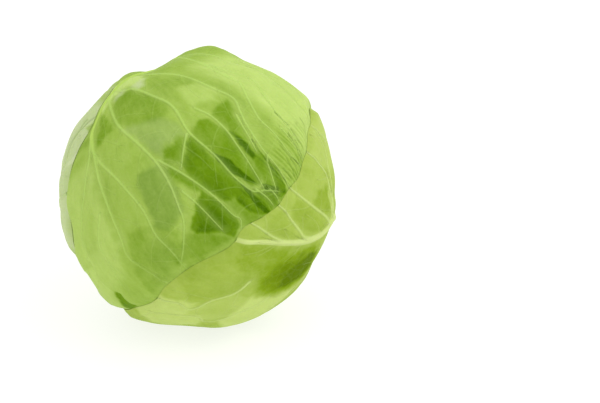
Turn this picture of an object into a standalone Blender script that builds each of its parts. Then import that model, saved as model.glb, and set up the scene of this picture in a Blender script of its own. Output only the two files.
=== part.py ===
"""A whole head of cabbage, lying on its side on a small flat spot.

The head is a firm heart of tightly folded inner leaves with a cut stem at one end and six wrapper
leaves laid over it like the layers of a parcel. Every wrapper leaf starts beside the stem and bends
over the head. World frame: metres, +Z up, the surface that the head rests on at z = 0. The stem
points to the right (+X), away (+Y) and a little down.

Each leaf is drawn flat, on a chart in millimetres: +y runs from the stem to the tip, +x to the side.
The chart is then bent round the ball of the head, with true lengths and angles from its middle.
"""

import math
from dataclasses import dataclass

import bmesh
import bpy
import numpy as np

MM = 0.001

# Size and lie of the head
HEAD_RADIUS = 85.0 * MM
REST_HEIGHT = 82.8 * MM          # height of the head's middle over the flat spot that it lies on
STEM_AZIMUTH = 37.0              # degrees from +X, seen from above
STEM_ELEVATION = -22.0           # degrees over the horizontal

# Layers
BLADE = 1.2 * MM                 # thickness of a leaf's blade
AIR = 1.0 * MM                   # room between one leaf and the next
LAYER = BLADE + AIR
MARGIN_ROOM = 4.0                # mm beyond a leaf's margin where the leaves under it stay pressed down
MARGIN_BLEND = 14.0              # mm over which they rise again

# Stem
STEM_CONE = 14.0                 # degrees from the stem's axis where the leaf bases start
STEM_FOOT = 64.0 * MM            # distance of the stem's inner end from the middle of the head
STEM_NECK = 79.0 * MM            # where the stem is thickest
STEM_CUT = 92.0 * MM             # distance of the cut face
STEM_CUT_RADIUS = 14.5 * MM
STEM_CLEARANCE = 0.8 * MM
STEM_SIDES = 28
STEM_SCARS = 5                   # shallow flutes left by leaves that were cut away
SCAR_DEPTH = 0.7 * MM

HEART_SUBDIVISIONS = 4
HEART_AIR = 0.6 * MM             # extra room between the heart and the wrapper leaves
STEM_SEAT = 0.3 * MM             # gap between the stem's inner end and the heart

# Margins and ribs of the leaves, in mm on the chart
MARGIN_WAVES = ((9, 1.6), (17, 1.0))   # waves round the whole outline and their height
WAVE_PHASE = 1.7                 # shifts the waves from leaf to leaf
WAVE_START = 40.0                # degrees of bearing from the stem where the margin starts to wave
RIB_LENGTH = 170.0               # over which a midrib thins out
RIB_THINNING = 0.62              # share of its width that it loses
RIB_FLATTENING = 0.85            # share of its height that it loses
PILLOW_RISE = 9.0                # from a vein to the top of the pillow beside it
LIP_WIDTH = 12.0                 # margin strip that lifts
BASE_HOLD = 40.0                 # stretch beside the stem where the blade stays flat
FLOOR_HOLD = 14.0                # mm of height over the floor under which the blade stays flat

# Swellings and hollows of the whole head: azimuth, elevation, half-width in degrees, height in mm
SWELLINGS = (
    (68, 67, 9, 4.0),
    (44, 61, 11, -2.6),
    (16, 34, 9, 1.8),
    (160, 38, 10.5, -4.0),
    (130, 61, 11, -6.2),
    (0, 3, 14, -3.2),
    (-14, -24, 12, -2.4),
    (-54, -24, 18, -3.4),
    (-62, -58, 15, 0.9),
    (-100, -62, 12, -2.0),
    (-150, -46, 19, 2.8),
    (-168, -18, 13, 1.6),
    (-164, -32, 9, -2.0),
    (STEM_AZIMUTH, STEM_ELEVATION, 20, -4.0),
    (129, 60, 6.5, -2.8),
    (158, 69, 9, -4.2),
    (118, 46, 9, -4.2),
    (-10, -30, 8, -1.6),
    (-9, 9, 7, 1.3),
    (-3, -6, 6, 1.3),
)


@dataclass(frozen=True)
class Leaf:
    """One wrapper leaf: where its middle lies, its outline and its ribs, all on its own chart in mm."""

    name: str
    polar: float                 # degrees from the stem's axis to the middle of the chart
    turn: float                  # degrees round the stem's axis
    outline: tuple               # (bearing in degrees, reach in mm), bearing 0 towards the tip
    midrib: tuple                # (y, x) points of the midrib, from the stem outwards
    veins: tuple                 # side veins, each a tuple of (x, y) points
    rib_height: float            # mm at the stem
    rib_width: float             # mm, half the width at the stem
    pillow: float                # mm that the blade swells out between its veins
    lip: float                   # mm that the free margin lifts
    cells: tuple                 # grid cells across and along
    colour: tuple


def mirrored(veins, shrink):
    """The same veins on the other side of the midrib, a little shorter."""
    return tuple(tuple((-x * shrink, y) for x, y in vein) for vein in veins)


def feathered(reach, first, last, pairs):
    """Side veins in pairs that leave a straight midrib and bend towards the tip."""
    veins = []
    for step in np.linspace(first, last, pairs):
        for side in (-1, 1):
            veins.append((
                (0.0, float(step)),
                (side * 0.35 * reach, float(step) + 0.20 * reach),
                (side * 0.66 * reach, float(step) + 0.30 * reach),
                (side * 0.90 * reach, float(step) + 0.55 * reach),
            ))
    return tuple(veins)


def rounded(tip, side, shoulder, base):
    """Outline of a broad leaf that is alike on both sides."""
    half = ((30, tip), (60, 0.5 * (tip + side)), (90, side), (120, shoulder), (145, shoulder * 0.92))
    right = ((0, tip),) + half + ((165, base * 0.99), (180, base))
    left = ((-165, base * 0.99),) + tuple((-bearing, reach) for bearing, reach in reversed(half))
    return left + right


def stem_distance(polar):
    """Chart distance in mm from the middle of a leaf to its base beside the stem."""
    return math.radians(polar - STEM_CONE) * HEAD_RADIUS / MM


STRAIGHT_RIB = ((-220, 0), (220, 0))
CAP_SIDE_VEINS = (
    ((0, -86), (45, -76), (90, -72), (128, -78)),
    ((0, -60), (45, -48), (85, -42), (130, -38)),
    ((0, -34), (40, -22), (75, -21), (105, 3), (142, 10)),
    ((-3, -14), (42, 2), (65, 19), (110, 35), (138, 28)),
    ((-8, 9), (32, 33), (52, 46), (69, 77), (80, 112)),
    ((1, 39), (27, 65), (48, 95), (66, 128)),
)
CAP_FORKS = (
    ((42, 2), (72, 2), (115, 27)),
    ((50, 44), (84, 52), (112, 72), (140, 80)),
)
OUTER_SIDE_VEINS = (
    ((-13, -40), (-30, -12), (-52, -4), (-78, -6)),
    ((-14, -28), (-36, -8), (-47, 2), (-58, 16)),
    ((-13, -20), (-18, -5), (-25, 13), (-38, 36)),
    ((-4, 6), (-16, 30), (-26, 44)),
    ((-2, 36), (-6, 49), (-14, 66)),
    ((-1, 22), (29, 43), (68, 55), (76, 84)),
    ((-4, 0), (36, 14), (76, 46), (108, 63)),
    ((-12, -24), (32, -10), (88, 7), (136, 34)),
    ((-12, -46), (36, -40), (88, -34), (140, -30)),
)

LEAVES = (
    Leaf("leaf_lower_inner", 80, 162, rounded(108, 110, 104, stem_distance(80)), STRAIGHT_RIB,
         feathered(80, -70, 30, 5), 4.0, 8.0, 0.0, 0.0, (18, 18), (0.42, 0.56, 0.18)),
    Leaf("leaf_right_inner", 85, 34, rounded(112, 112, 106, stem_distance(85)), STRAIGHT_RIB,
         feathered(80, -76, 30, 5), 4.0, 8.0, 0.0, 0.0, (18, 18), (0.44, 0.58, 0.20)),
    Leaf("leaf_back_inner", 85, 284, rounded(118, 116, 108, stem_distance(85)), STRAIGHT_RIB,
         feathered(84, -76, 34, 5), 4.5, 8.5, 0.8, 0.0, (20, 20), (0.34, 0.50, 0.13)),
    Leaf("leaf_cap", 145, -26,
         ((-165, 188), (-150, 170), (-130, 152), (-110, 142), (-90, 138), (-60, 141), (-35, 152), (-14, 166),
          (15, 162), (45, 160), (70, 165), (100, 166), (130, 161), (150, 170), (165, 188),
          (180, stem_distance(145))),
         ((-220, 0), (-60, 0), (-30, 0), (12, -8), (39, 1), (77, 14), (108, 19), (150, 30)),
         CAP_SIDE_VEINS + CAP_FORKS + mirrored(CAP_SIDE_VEINS, 0.94), 5.0, 9.0, 1.5, 0.6, (28, 30),
         (0.24, 0.40, 0.07)),
    Leaf("leaf_left_outer", 75, 235,
         ((-165, 90), (-145, 92), (-120, 96), (-90, 91), (-60, 82), (-40, 82), (-24, 97), (-13, 114),
          (-2, 114), (6, 121), (14, 134), (22, 145), (36, 147), (60, 128), (90, 112), (120, 104),
          (145, 94), (165, 90), (180, stem_distance(75))),
         STRAIGHT_RIB, feathered(86, -62, 40, 6), 5.0, 9.0, 1.0, 0.4, (22, 22), (0.55, 0.66, 0.30)),
    Leaf("leaf_right_outer", 65, 95,
         ((-165, 75), (-145, 82), (-125, 94), (-108, 92), (-92, 74), (-74, 62), (-57, 53), (-47, 49.5),
          (-36, 53), (-26, 53.5), (-17, 58), (-9, 62.5), (1, 67.5), (13, 79), (26, 95), (34, 101),
          (42, 108), (50, 117), (62, 130), (80, 148), (95, 157), (108, 154),
          (125, 136), (140, 108), (152, 88), (165, 77), (180, stem_distance(65))),
         ((-220, 0), (-76, 0), (-45, -10), (-24, -12), (10, -3), (40, -1), (66, 2), (90, 4)),
         OUTER_SIDE_VEINS, 6.0, 9.5, 1.2, 0.8, (24, 22), (0.47, 0.61, 0.18)),
)


def unit(vector):
    """The vector, or each row of an array of vectors, at length 1."""
    return vector / np.linalg.norm(vector, axis=-1, keepdims=True)


def heading(azimuth, elevation):
    """World direction for an azimuth and an elevation in degrees."""
    turn, rise = math.radians(azimuth), math.radians(elevation)
    return np.array((math.cos(turn) * math.cos(rise), math.sin(turn) * math.cos(rise), math.sin(rise)))


def smooth(low, high, value):
    """0 below low, 1 above high and an even rise between them."""
    share = np.clip((value - low) / (high - low), 0.0, 1.0)
    return share * share * (3.0 - 2.0 * share)


def flowing(knots, values, at):
    """Cubic curve through the values, with the slope at each knot taken from its neighbours."""
    slopes = np.gradient(values, knots)
    index = np.clip(np.searchsorted(knots, at) - 1, 0, len(knots) - 2)
    span = knots[index + 1] - knots[index]
    share = np.clip((at - knots[index]) / span, 0.0, 1.0)
    rise = values[index + 1] - values[index]
    start = slopes[index] * span - rise
    end = rise - slopes[index + 1] * span
    return values[index] + share * rise + share * (1 - share) * ((1 - share) * start + share * end)


STEM_AXIS = heading(STEM_AZIMUTH, STEM_ELEVATION)
STEM_UP = unit(np.array((0.0, 0.0, 1.0)) - STEM_AXIS[2] * STEM_AXIS)
STEM_SIDE = np.cross(STEM_AXIS, STEM_UP)


class Chart:
    """The flat drawing of one leaf and the way it is bent round the head."""

    def __init__(self, leaf):
        self.leaf = leaf
        polar, turn = math.radians(leaf.polar), math.radians(leaf.turn)
        around = math.cos(turn) * STEM_UP + math.sin(turn) * STEM_SIDE
        self.middle = math.cos(polar) * STEM_AXIS + math.sin(polar) * around
        self.forth = unit(self.middle * math.cos(polar) - STEM_AXIS)
        self.side = np.cross(self.middle, self.forth)
        points = sorted(leaf.outline)
        wrapped = points[-2:] + points + points[:2]
        shift = (-360, -360) + (0,) * len(points) + (360, 360)
        self.bearings = np.array([point[0] + turn for point, turn in zip(wrapped, shift)], float)
        self.reaches = np.array([point[1] for point in wrapped], float)
        self.rib_knots = np.array([y for y, x in leaf.midrib], float)
        self.rib_values = np.array([x for y, x in leaf.midrib], float)
        self.phase = WAVE_PHASE * leaf.turn

    def reach(self, bearing):
        """Distance in mm from the middle to the waved margin."""
        waves = np.zeros_like(bearing)
        for count, height in MARGIN_WAVES:
            waves = waves + height * np.sin(np.radians(count * bearing + self.phase))
        free = smooth(0.6 * WAVE_START, WAVE_START, 180.0 - np.abs(bearing))
        return flowing(self.bearings, self.reaches, bearing) + waves * free

    def rib_line(self, y):
        """Sideways place of the midrib in mm."""
        return flowing(self.rib_knots, self.rib_values, y)

    def flat(self, directions):
        """Chart x and y in mm of world directions from the middle of the head."""
        cosine = np.clip(directions @ self.middle, -1.0, 1.0)
        across, along = directions @ self.side, directions @ self.forth
        length = np.maximum(np.hypot(across, along), 1e-9)
        distance = np.arccos(cosine) * HEAD_RADIUS / MM
        return distance * across / length, distance * along / length

    def bent(self, x, y):
        """World directions of chart points."""
        distance = np.maximum(np.hypot(x, y), 1e-9)
        angle = (distance * MM / HEAD_RADIUS)[:, None]
        tangent = (x / distance)[:, None] * self.side + (y / distance)[:, None] * self.forth
        return np.cos(angle) * self.middle + np.sin(angle) * tangent

    def inside(self, directions):
        """Distance in mm from each direction to the margin, positive inside the leaf."""
        x, y = self.flat(directions)
        distance, bearing = np.hypot(x, y), np.degrees(np.arctan2(x, y))
        turn = (self.reach(bearing + 0.5) - self.reach(bearing - 0.5)) / math.radians(1.0)
        arm = HEAD_RADIUS / MM * np.maximum(np.sin(distance * MM / HEAD_RADIUS), 0.05)
        return (self.reach(bearing) - distance) / np.hypot(1.0, turn / arm)

    def cover(self, directions):
        """1 where the leaf lies and close round it, 0 well away from it."""
        return smooth(-MARGIN_ROOM - MARGIN_BLEND, -MARGIN_ROOM, self.inside(directions))

    def vein_distance(self, x, y):
        """Distance in mm on the chart to the nearest side vein or the midrib."""
        nearest = np.abs(x - self.rib_line(y))
        for vein in self.leaf.veins:
            for (start_x, start_y), (end_x, end_y) in zip(vein, vein[1:]):
                run_x, run_y = end_x - start_x, end_y - start_y
                share = ((x - start_x) * run_x + (y - start_y) * run_y) / (run_x ** 2 + run_y ** 2)
                share = np.clip(share, 0.0, 1.0)
                gap = np.hypot(x - start_x - share * run_x, y - start_y - share * run_y)
                nearest = np.minimum(nearest, gap)
        return nearest

    def rib(self, x, y):
        """Height in mm of the midrib over the blade."""
        gone = smooth(0.0, RIB_LENGTH, y + stem_distance(self.leaf.polar))
        width = self.leaf.rib_width * (1.0 - RIB_THINNING * gone)
        height = self.leaf.rib_height * (1.0 - RIB_FLATTENING * gone)
        return height * (1.0 - smooth(0.0, width, np.abs(x - self.rib_line(y))))

    def relief(self, directions):
        """Heights in mm over the plain layer: of the bulging blade and of the rib on it."""
        x, y = self.flat(directions)
        pillows = self.leaf.pillow * smooth(0.0, PILLOW_RISE, self.vein_distance(x, y))
        lip = self.leaf.lip * (1.0 - smooth(0.0, LIP_WIDTH, self.inside(directions)))
        free = smooth(0.0, BASE_HOLD, y + stem_distance(self.leaf.polar))
        return (pillows + lip) * free, self.rib(x, y)


CHARTS = [Chart(leaf) for leaf in LEAVES]


def head_surface(directions):
    """Distance in metres from the middle of the head to its outermost skin."""
    radius = np.full(len(directions), HEAD_RADIUS)
    for azimuth, elevation, width, height in SWELLINGS:
        angle = np.degrees(np.arccos(np.clip(directions @ heading(azimuth, elevation), -1.0, 1.0)))
        radius = radius + height * MM * np.exp(-((angle / width) ** 2))
    return radius


def floor_limit(directions):
    """Distance in metres at which a direction meets the resting surface."""
    return REST_HEIGHT / np.maximum(-directions[:, 2], 1e-6)


def clear_of_floor(directions):
    """0 near the flat spot, 1 away from it."""
    return smooth(0.2 * FLOOR_HOLD, FLOOR_HOLD, (floor_limit(directions) - HEAD_RADIUS) / MM)


def covering(directions, charts):
    """How many of these leaves lie over each direction, blended at their margins."""
    return sum((chart.cover(directions) for chart in charts), np.zeros(len(directions)))


def leaf_faces(chart, directions):
    """Distances in metres from the middle to the outer and the inner face of a leaf."""
    above = CHARTS[CHARTS.index(chart) + 1:]
    stack = covering(directions, above)
    skin = np.minimum(head_surface(directions), floor_limit(directions)) - LAYER * stack
    bulge, rib = chart.relief(directions)
    free = np.clip(1.0 - stack, 0.0, 1.0) * clear_of_floor(directions)
    inner = skin - BLADE + bulge * free * MM
    return inner + BLADE + rib * free * MM, inner


def square_to_disc(u, v):
    """Square grid coordinates moved onto the unit disc, with straight middle lines."""
    return u * np.sqrt(1.0 - v * v / 2.0), v * np.sqrt(1.0 - u * u / 2.0)


def grid_to_chart(chart, u, v):
    """Chart points for grid coordinates, with the middle column laid along the midrib."""
    disc_x, disc_y = square_to_disc(u, v)
    bearing = np.degrees(np.arctan2(disc_x, disc_y))
    reach = chart.reach(bearing)
    x, y = disc_x * reach, disc_y * reach
    hold = np.clip(1.0 - disc_x ** 2 - disc_y ** 2, 0.0, 1.0)
    return x + chart.rib_line(y) * hold, y


def split_towards_middle(bm):
    """Cut every grid cell in two along the diagonal that points to the middle of the grid."""
    for face in list(bm.faces):
        middle = face.calc_center_median()
        slant = 1.0 if middle.x * middle.y >= 0 else -1.0
        corners = sorted(face.verts, key=lambda vert: (vert.co.x - middle.x) + slant * (vert.co.y - middle.y))
        bmesh.utils.face_split(face, corners[0], corners[-1])


def pull_to_rib(u, cells, half_width):
    """Move the grid columns beside the middle one onto the foot of the midrib."""
    step = 2.0 / cells
    beside = np.abs(np.abs(u) - step) < 0.5 * step
    return np.where(beside, np.sign(u) * min(half_width, step), u)


def leaf_mesh(chart):
    """A closed leaf: an outer face, an inner face with the same triangles and a rim."""
    leaf = chart.leaf
    bm = bmesh.new()
    bmesh.ops.create_grid(bm, x_segments=leaf.cells[0], y_segments=leaf.cells[1], size=1.0)
    split_towards_middle(bm)
    outer = list(bm.verts)
    outer_faces = list(bm.faces)
    copy = bmesh.ops.duplicate(bm, geom=bm.verts[:] + bm.edges[:] + bm.faces[:])
    inner = [copy["vert_map"][vert] for vert in outer]
    bmesh.ops.reverse_faces(bm, faces=outer_faces)
    grid = np.array([vert.co[:2] for vert in outer])
    typical = float(np.mean(chart.reaches))
    u = pull_to_rib(grid[:, 0], leaf.cells[0], 0.8 * leaf.rib_width / typical)
    directions = chart.bent(*grid_to_chart(chart, u, grid[:, 1]))
    outside, inside = leaf_faces(chart, directions)
    for vert, direction, distance in zip(outer, directions, outside):
        vert.co = direction * distance
    for vert, direction, distance in zip(inner, directions, inside):
        vert.co = direction * distance
    rim = [edge for edge in bm.edges if edge.is_boundary]
    bmesh.ops.bridge_loops(bm, edges=rim)
    bmesh.ops.triangulate(bm, faces=[face for face in bm.faces if len(face.verts) > 3])
    return bm


def heart_mesh():
    """The packed inner leaves: a ball pressed in under the wrapper leaves and flat under the stem."""
    bm = bmesh.new()
    bmesh.ops.create_icosphere(bm, subdivisions=HEART_SUBDIVISIONS, radius=1.0)
    directions = unit(np.array([vert.co[:] for vert in bm.verts]))
    distances = np.minimum(head_surface(directions), floor_limit(directions))
    distances = distances - LAYER * covering(directions, CHARTS) - HEART_AIR
    seat = STEM_FOOT - STEM_SEAT
    distances = np.minimum(distances, seat / np.maximum(directions @ STEM_AXIS, 1e-6))
    for vert, direction, distance in zip(bm.verts, directions, distances):
        vert.co = direction * distance
    return bm


def stem_mesh():
    """The cut stem: a short stump with shallow flutes, widest between the leaf bases."""
    slope = math.tan(math.radians(STEM_CONE))
    profile = (
        (STEM_FOOT, STEM_FOOT * slope - STEM_CLEARANCE),
        (0.5 * (STEM_FOOT + STEM_NECK), 0.5 * (STEM_FOOT + STEM_NECK) * slope - STEM_CLEARANCE),
        (STEM_NECK, STEM_NECK * slope - STEM_CLEARANCE),
        (0.5 * (STEM_NECK + STEM_CUT), STEM_CUT_RADIUS + 1.6 * MM),
        (STEM_CUT - 1.2 * MM, STEM_CUT_RADIUS + 0.4 * MM),
        (STEM_CUT, STEM_CUT_RADIUS - 0.6 * MM),
    )
    bm = bmesh.new()
    rings = []
    for height, radius in profile:
        ring = bmesh.ops.create_circle(bm, segments=STEM_SIDES, radius=1.0)["verts"]
        for vert in ring:
            angle = math.atan2(vert.co.y, vert.co.x)
            flute = SCAR_DEPTH * (math.cos(STEM_SCARS * angle) - 1.0)
            place = (radius + flute) * (math.cos(angle) * STEM_UP + math.sin(angle) * STEM_SIDE)
            vert.co = place + height * STEM_AXIS
        rings.append(list(dict.fromkeys(edge for vert in ring for edge in vert.link_edges)))
    for lower, upper in zip(rings, rings[1:]):
        bmesh.ops.bridge_loops(bm, edges=lower + upper)
    for end in (rings[0], rings[-1]):
        bmesh.ops.contextual_create(bm, geom=end)
    bmesh.ops.recalc_face_normals(bm, faces=bm.faces)
    bmesh.ops.triangulate(bm, faces=[face for face in bm.faces if len(face.verts) > 3])
    return bm


def plant_material(name, colour, roughness):
    """Fresh waxy leaf or stem tissue."""
    material = bpy.data.materials.new(name)
    material.use_nodes = True
    shader = material.node_tree.nodes["Principled BSDF"]
    shader.inputs["Base Color"].default_value = (*colour, 1.0)
    shader.inputs["Roughness"].default_value = roughness
    shader.inputs["Metallic"].default_value = 0.0
    return material


def add_piece(name, bm, colour, roughness, parent):
    """Turn a finished bmesh into a named object under the head's empty."""
    mesh = bpy.data.meshes.new(name)
    bm.to_mesh(mesh)
    bm.free()
    mesh.shade_smooth()
    mesh.set_sharp_from_angle(angle=math.radians(50))
    mesh.materials.append(plant_material(name + "_tissue", colour, roughness))
    piece = bpy.data.objects.new(name, mesh)
    piece.parent = parent
    bpy.context.scene.collection.objects.link(piece)
    return piece


def main():
    """Clear the scene and build the head."""
    for thing in list(bpy.data.objects):
        bpy.data.objects.remove(thing, do_unlink=True)
    middle = bpy.data.objects.new("head_middle", None)
    middle.location = (0.0, 0.0, REST_HEIGHT)
    bpy.context.scene.collection.objects.link(middle)
    add_piece("heart", heart_mesh(), (0.56, 0.68, 0.27), 0.5, middle)
    add_piece("stem", stem_mesh(), (0.66, 0.72, 0.42), 0.6, middle)
    for chart in CHARTS:
        add_piece(chart.leaf.name, leaf_mesh(chart), chart.leaf.colour, 0.45, middle)


if __name__ == "__main__":
    main()
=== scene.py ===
"""Looks of a whole cabbage head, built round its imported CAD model.

Each wrapper leaf is drawn flat, on a chart in millimetres: +y runs from the stem to the tip, +x to the
side. The chart is bent round the ball of the head, and the leaves lie over each other in their order,
from the innermost to the outermost. Shapes are worked out in millimetres and placed in metres.
"""

import logging
import math
import random
from dataclasses import dataclass
from enum import Enum

import bmesh
import bpy
import numpy as np
from mathutils import Matrix, Vector, noise


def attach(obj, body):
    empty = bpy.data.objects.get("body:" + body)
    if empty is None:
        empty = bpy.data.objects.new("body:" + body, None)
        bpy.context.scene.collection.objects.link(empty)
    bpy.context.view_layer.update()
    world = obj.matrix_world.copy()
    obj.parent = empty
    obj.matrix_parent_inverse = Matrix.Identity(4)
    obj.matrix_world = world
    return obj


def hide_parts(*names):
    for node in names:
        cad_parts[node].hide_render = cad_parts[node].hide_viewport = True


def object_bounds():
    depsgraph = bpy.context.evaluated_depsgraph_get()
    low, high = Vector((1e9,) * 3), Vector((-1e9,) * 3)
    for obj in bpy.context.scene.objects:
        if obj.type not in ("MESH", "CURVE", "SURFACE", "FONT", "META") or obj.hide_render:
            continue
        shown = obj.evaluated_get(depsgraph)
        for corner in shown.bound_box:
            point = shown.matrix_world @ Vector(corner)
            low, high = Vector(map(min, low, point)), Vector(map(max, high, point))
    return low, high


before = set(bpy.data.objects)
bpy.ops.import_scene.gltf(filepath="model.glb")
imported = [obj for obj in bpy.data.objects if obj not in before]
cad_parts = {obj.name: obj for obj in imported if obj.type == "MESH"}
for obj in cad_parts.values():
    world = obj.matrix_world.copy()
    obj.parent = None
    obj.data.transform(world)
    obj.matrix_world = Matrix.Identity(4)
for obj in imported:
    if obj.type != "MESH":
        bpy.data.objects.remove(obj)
CAD_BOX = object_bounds()

LOG = logging.getLogger("cabbage")
Array = np.ndarray
Pairs = tuple[tuple[float, float], ...]
Socket = bpy.types.NodeSocket

MM = 0.001

# Guard against a division by zero, a distance in mm that stands for no vein at all, and how far in mm
# round a vein distances to it are worked out
TINY = 1e-9
FAR = 1e3
VEIN_ROOM = 12.0

# Size and lie of the head, as in the CAD model, in mm and degrees
HEAD_RADIUS = 85.0
REST_HEIGHT = 82.8
STEM_AZIMUTH = 37.0
STEM_ELEVATION = -22.0
STEM_CONE = 14.0

# Layers, in mm: the leaves under a margin stay pressed down a little beyond it, and the margin hugs them
LAYER = 2.2
BLADE = 0.8
MARGIN_BLADE = 0.15
MARGIN_BEYOND = 9.0
MARGIN_WITHIN = 6.0
MARGIN_DROOP = 1.18

# Margins and ribs, as in the CAD model: waves as count and height in mm, which fade in degrees from the
# stem, and lengths in mm
MARGIN_WAVES = ((9, 1.6), (17, 1.0))
WAVE_PHASE = 1.7
WAVE_FADE = (24.0, 40.0)
RIB_TAPER = 50.0
RIB_TIP_SHARE = 0.2
PILLOW_RISE = 9.0
LIP_WIDTH = 12.0
BASE_HOLD = 40.0
FLOOR_HOLD = (2.8, 14.0)

# Swellings and hollows of the whole head: azimuth, elevation, half-width in degrees, height in mm
SWELLINGS = (
    (68, 67, 9, 4.0),
    (44, 61, 11, -2.6),
    (16, 34, 9, 1.8),
    (160, 38, 10.5, -4.0),
    (130, 61, 11, -6.2),
    (0, 3, 14, -3.2),
    (-14, -24, 12, -2.4),
    (-54, -24, 18, -3.4),
    (-62, -58, 15, 0.9),
    (-100, -62, 12, -2.0),
    (-150, -46, 19, 2.8),
    (-168, -18, 13, 1.6),
    (-164, -32, 9, -2.0),
    (STEM_AZIMUTH, STEM_ELEVATION, 20, -4.0),
    (129, 60, 6.5, -2.8),
    (158, 69, 9, -4.2),
    (118, 46, 9, -4.2),
    (-10, -30, 8, -1.6),
    (-9, 9, 7, 1.3),
    (-3, -6, 6, 1.3),
)

# How far each seed moves a noise pattern, in lumps
SEED_SHIFT = (7.31, 3.17, 5.53)


class Rank(Enum):
    """How thick a vein is: half its width in mm where it starts and where it ends."""

    RIB = (2.2, 0.7)
    SIDE = (1.1, 0.55)
    FORK = (0.8, 0.45)
    TWIG = (0.5, 0.3)
    CREASE = (0.8, 0.5)


@dataclass(frozen=True)
class Patch:
    """A soft-edged patch of a leaf's blade, with its corners in mm on the chart."""

    corners: Pairs
    deep: float = 0.0
    # How much pale wax a patch adds; the small pale streaks on the cap leaf use it as painted highlights
    wax_and_sheen: float = 0.0
    rise: float = 0.0
    soft: float = 2.6

    def weight(self, x: Array, y: Array) -> Array:
        """Strength of the patch at chart points: 1 well inside it, 0 outside.

        Args:
            x: Chart x in mm.
            y: Chart y in mm.

        Returns:
            One value a point.
        """
        near = np.full(x.shape, FAR)
        inside = np.zeros(x.shape, bool)
        for (start_x, start_y), (end_x, end_y) in zip(self.corners, self.corners[1:] + self.corners[:1]):
            run_x, run_y = end_x - start_x, end_y - start_y
            share = ((x - start_x) * run_x + (y - start_y) * run_y) / (run_x ** 2 + run_y ** 2)
            share = np.clip(share, 0.0, 1.0)
            near = np.minimum(near, np.hypot(x - start_x - share * run_x, y - start_y - share * run_y))
            if run_y:
                inside ^= ((start_y > y) != (end_y > y)) & (x < start_x + (y - start_y) * run_x / run_y)
        return smooth(-self.soft, self.soft, np.where(inside, near, -near))


@dataclass(frozen=True)
class LeafPlan:
    """One wrapper leaf on its own chart in mm: place, outline, ribs, relief and how fine its mesh is.

    The outline gives bearings in degrees, each with its distance, and the midrib gives y, each with its x.
    """

    node: str
    polar: float
    turn: float
    outline: Pairs
    midrib: Pairs
    veins: tuple[Pairs, ...]
    forks: tuple[Pairs, ...]
    rib_height: float
    rib_width: float
    pillow: float
    lip: float
    cells: tuple[int, int]
    seed: int
    patches: tuple[Patch, ...] = ()
    creases: tuple[Pairs, ...] = ()
    cream_end: float = 145.0
    fan: tuple[float, float] = (0.0, -90.0)


def unit(vector: Array) -> Array:
    """The vector, or each row of an array of vectors, at length 1."""
    return vector / np.linalg.norm(vector, axis=-1, keepdims=True)


def heading(azimuth: float, elevation: float) -> Array:
    """World direction of an azimuth and an elevation in degrees."""
    turn, rise = math.radians(azimuth), math.radians(elevation)
    return np.array((math.cos(turn) * math.cos(rise), math.sin(turn) * math.cos(rise), math.sin(rise)))


def smooth(low: float, high: float, value: Array) -> Array:
    """0 below low, 1 above high and an even rise between them.

    Args:
        low: Where the rise starts.
        high: Where it ends.
        value: What is compared with them.

    Returns:
        Values from 0 to 1.
    """
    share = np.clip((value - low) / (high - low), 0.0, 1.0)
    return share * share * (3.0 - 2.0 * share)


def flowing(knots: Array, values: Array, at: Array) -> Array:
    """Cubic curve through values, with the slope at each knot taken from its neighbours.

    Args:
        knots: Places of the values, rising.
        values: The values there.
        at: Places to read the curve at.

    Returns:
        The curve's values.
    """
    slopes = np.gradient(values, knots)
    index = np.clip(np.searchsorted(knots, at) - 1, 0, len(knots) - 2)
    span = knots[index + 1] - knots[index]
    share = np.clip((at - knots[index]) / span, 0.0, 1.0)
    rise = values[index + 1] - values[index]
    start = slopes[index] * span - rise
    end = rise - slopes[index + 1] * span
    return values[index] + share * rise + share * (1 - share) * ((1 - share) * start + share * end)


def drawn_out(points: Pairs, steps: int = 5) -> Array:
    """Points of a smooth curve through given points.

    Args:
        points: The given points.
        steps: Samples between each two of them.

    Returns:
        The samples, one (x, y) row each.
    """
    given = np.array(points, float)
    at = np.linspace(0.0, len(given) - 1.0, (len(given) - 1) * steps + 1)
    knots = np.arange(len(given), dtype=float)
    return np.column_stack([flowing(knots, given[:, axis], at) for axis in (0, 1)])


def rough(points: Array, grain: float, octaves: int, seed: int) -> Array:
    """Smooth noise of about -1 to 1 at points.

    Args:
        points: Rows of x, y, z.
        grain: Size of one lump, in the points' unit.
        octaves: How many finer layers are added up.
        seed: Shifts the pattern.

    Returns:
        One value a point.
    """
    shift = Vector([seed * part for part in SEED_SHIFT])
    return np.array([noise.fractal(Vector(point) / grain + shift, 1.0, 2.0, octaves) for point in points])


MIDDLE = np.array((0.0, 0.0, REST_HEIGHT))
STEM_AXIS = heading(STEM_AZIMUTH, STEM_ELEVATION)
STEM_UP = unit(np.array((0.0, 0.0, 1.0)) - STEM_AXIS[2] * STEM_AXIS)
STEM_SIDE = np.cross(STEM_AXIS, STEM_UP)


def head_surface(directions: Array) -> Array:
    """How far the outermost skin lies from the middle of the head.

    Args:
        directions: World directions from the middle.

    Returns:
        Distances in mm.
    """
    radius = np.full(len(directions), HEAD_RADIUS)
    for azimuth, elevation, width, height in SWELLINGS:
        angle = np.degrees(np.arccos(np.clip(directions @ heading(azimuth, elevation), -1.0, 1.0)))
        radius = radius + height * np.exp(-((angle / width) ** 2))
    return radius


def floor_limit(directions: Array) -> Array:
    """Distance in mm at which a direction meets the resting surface."""
    return REST_HEIGHT / np.maximum(-directions[:, 2], TINY)


def clear_of_floor(directions: Array) -> Array:
    """0 near the flat spot, 1 away from it."""
    return smooth(*FLOOR_HOLD, floor_limit(directions) - HEAD_RADIUS)


def placed(directions: Array, distances: Array) -> Array:
    """Points in metres of directions and distances in mm from the middle of the head."""
    return (directions * distances[:, None] + MIDDLE) * MM


def stem_distance(polar: float) -> float:
    """Chart distance in mm from the middle of a leaf to its base beside the stem."""
    return math.radians(polar - STEM_CONE) * HEAD_RADIUS


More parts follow.
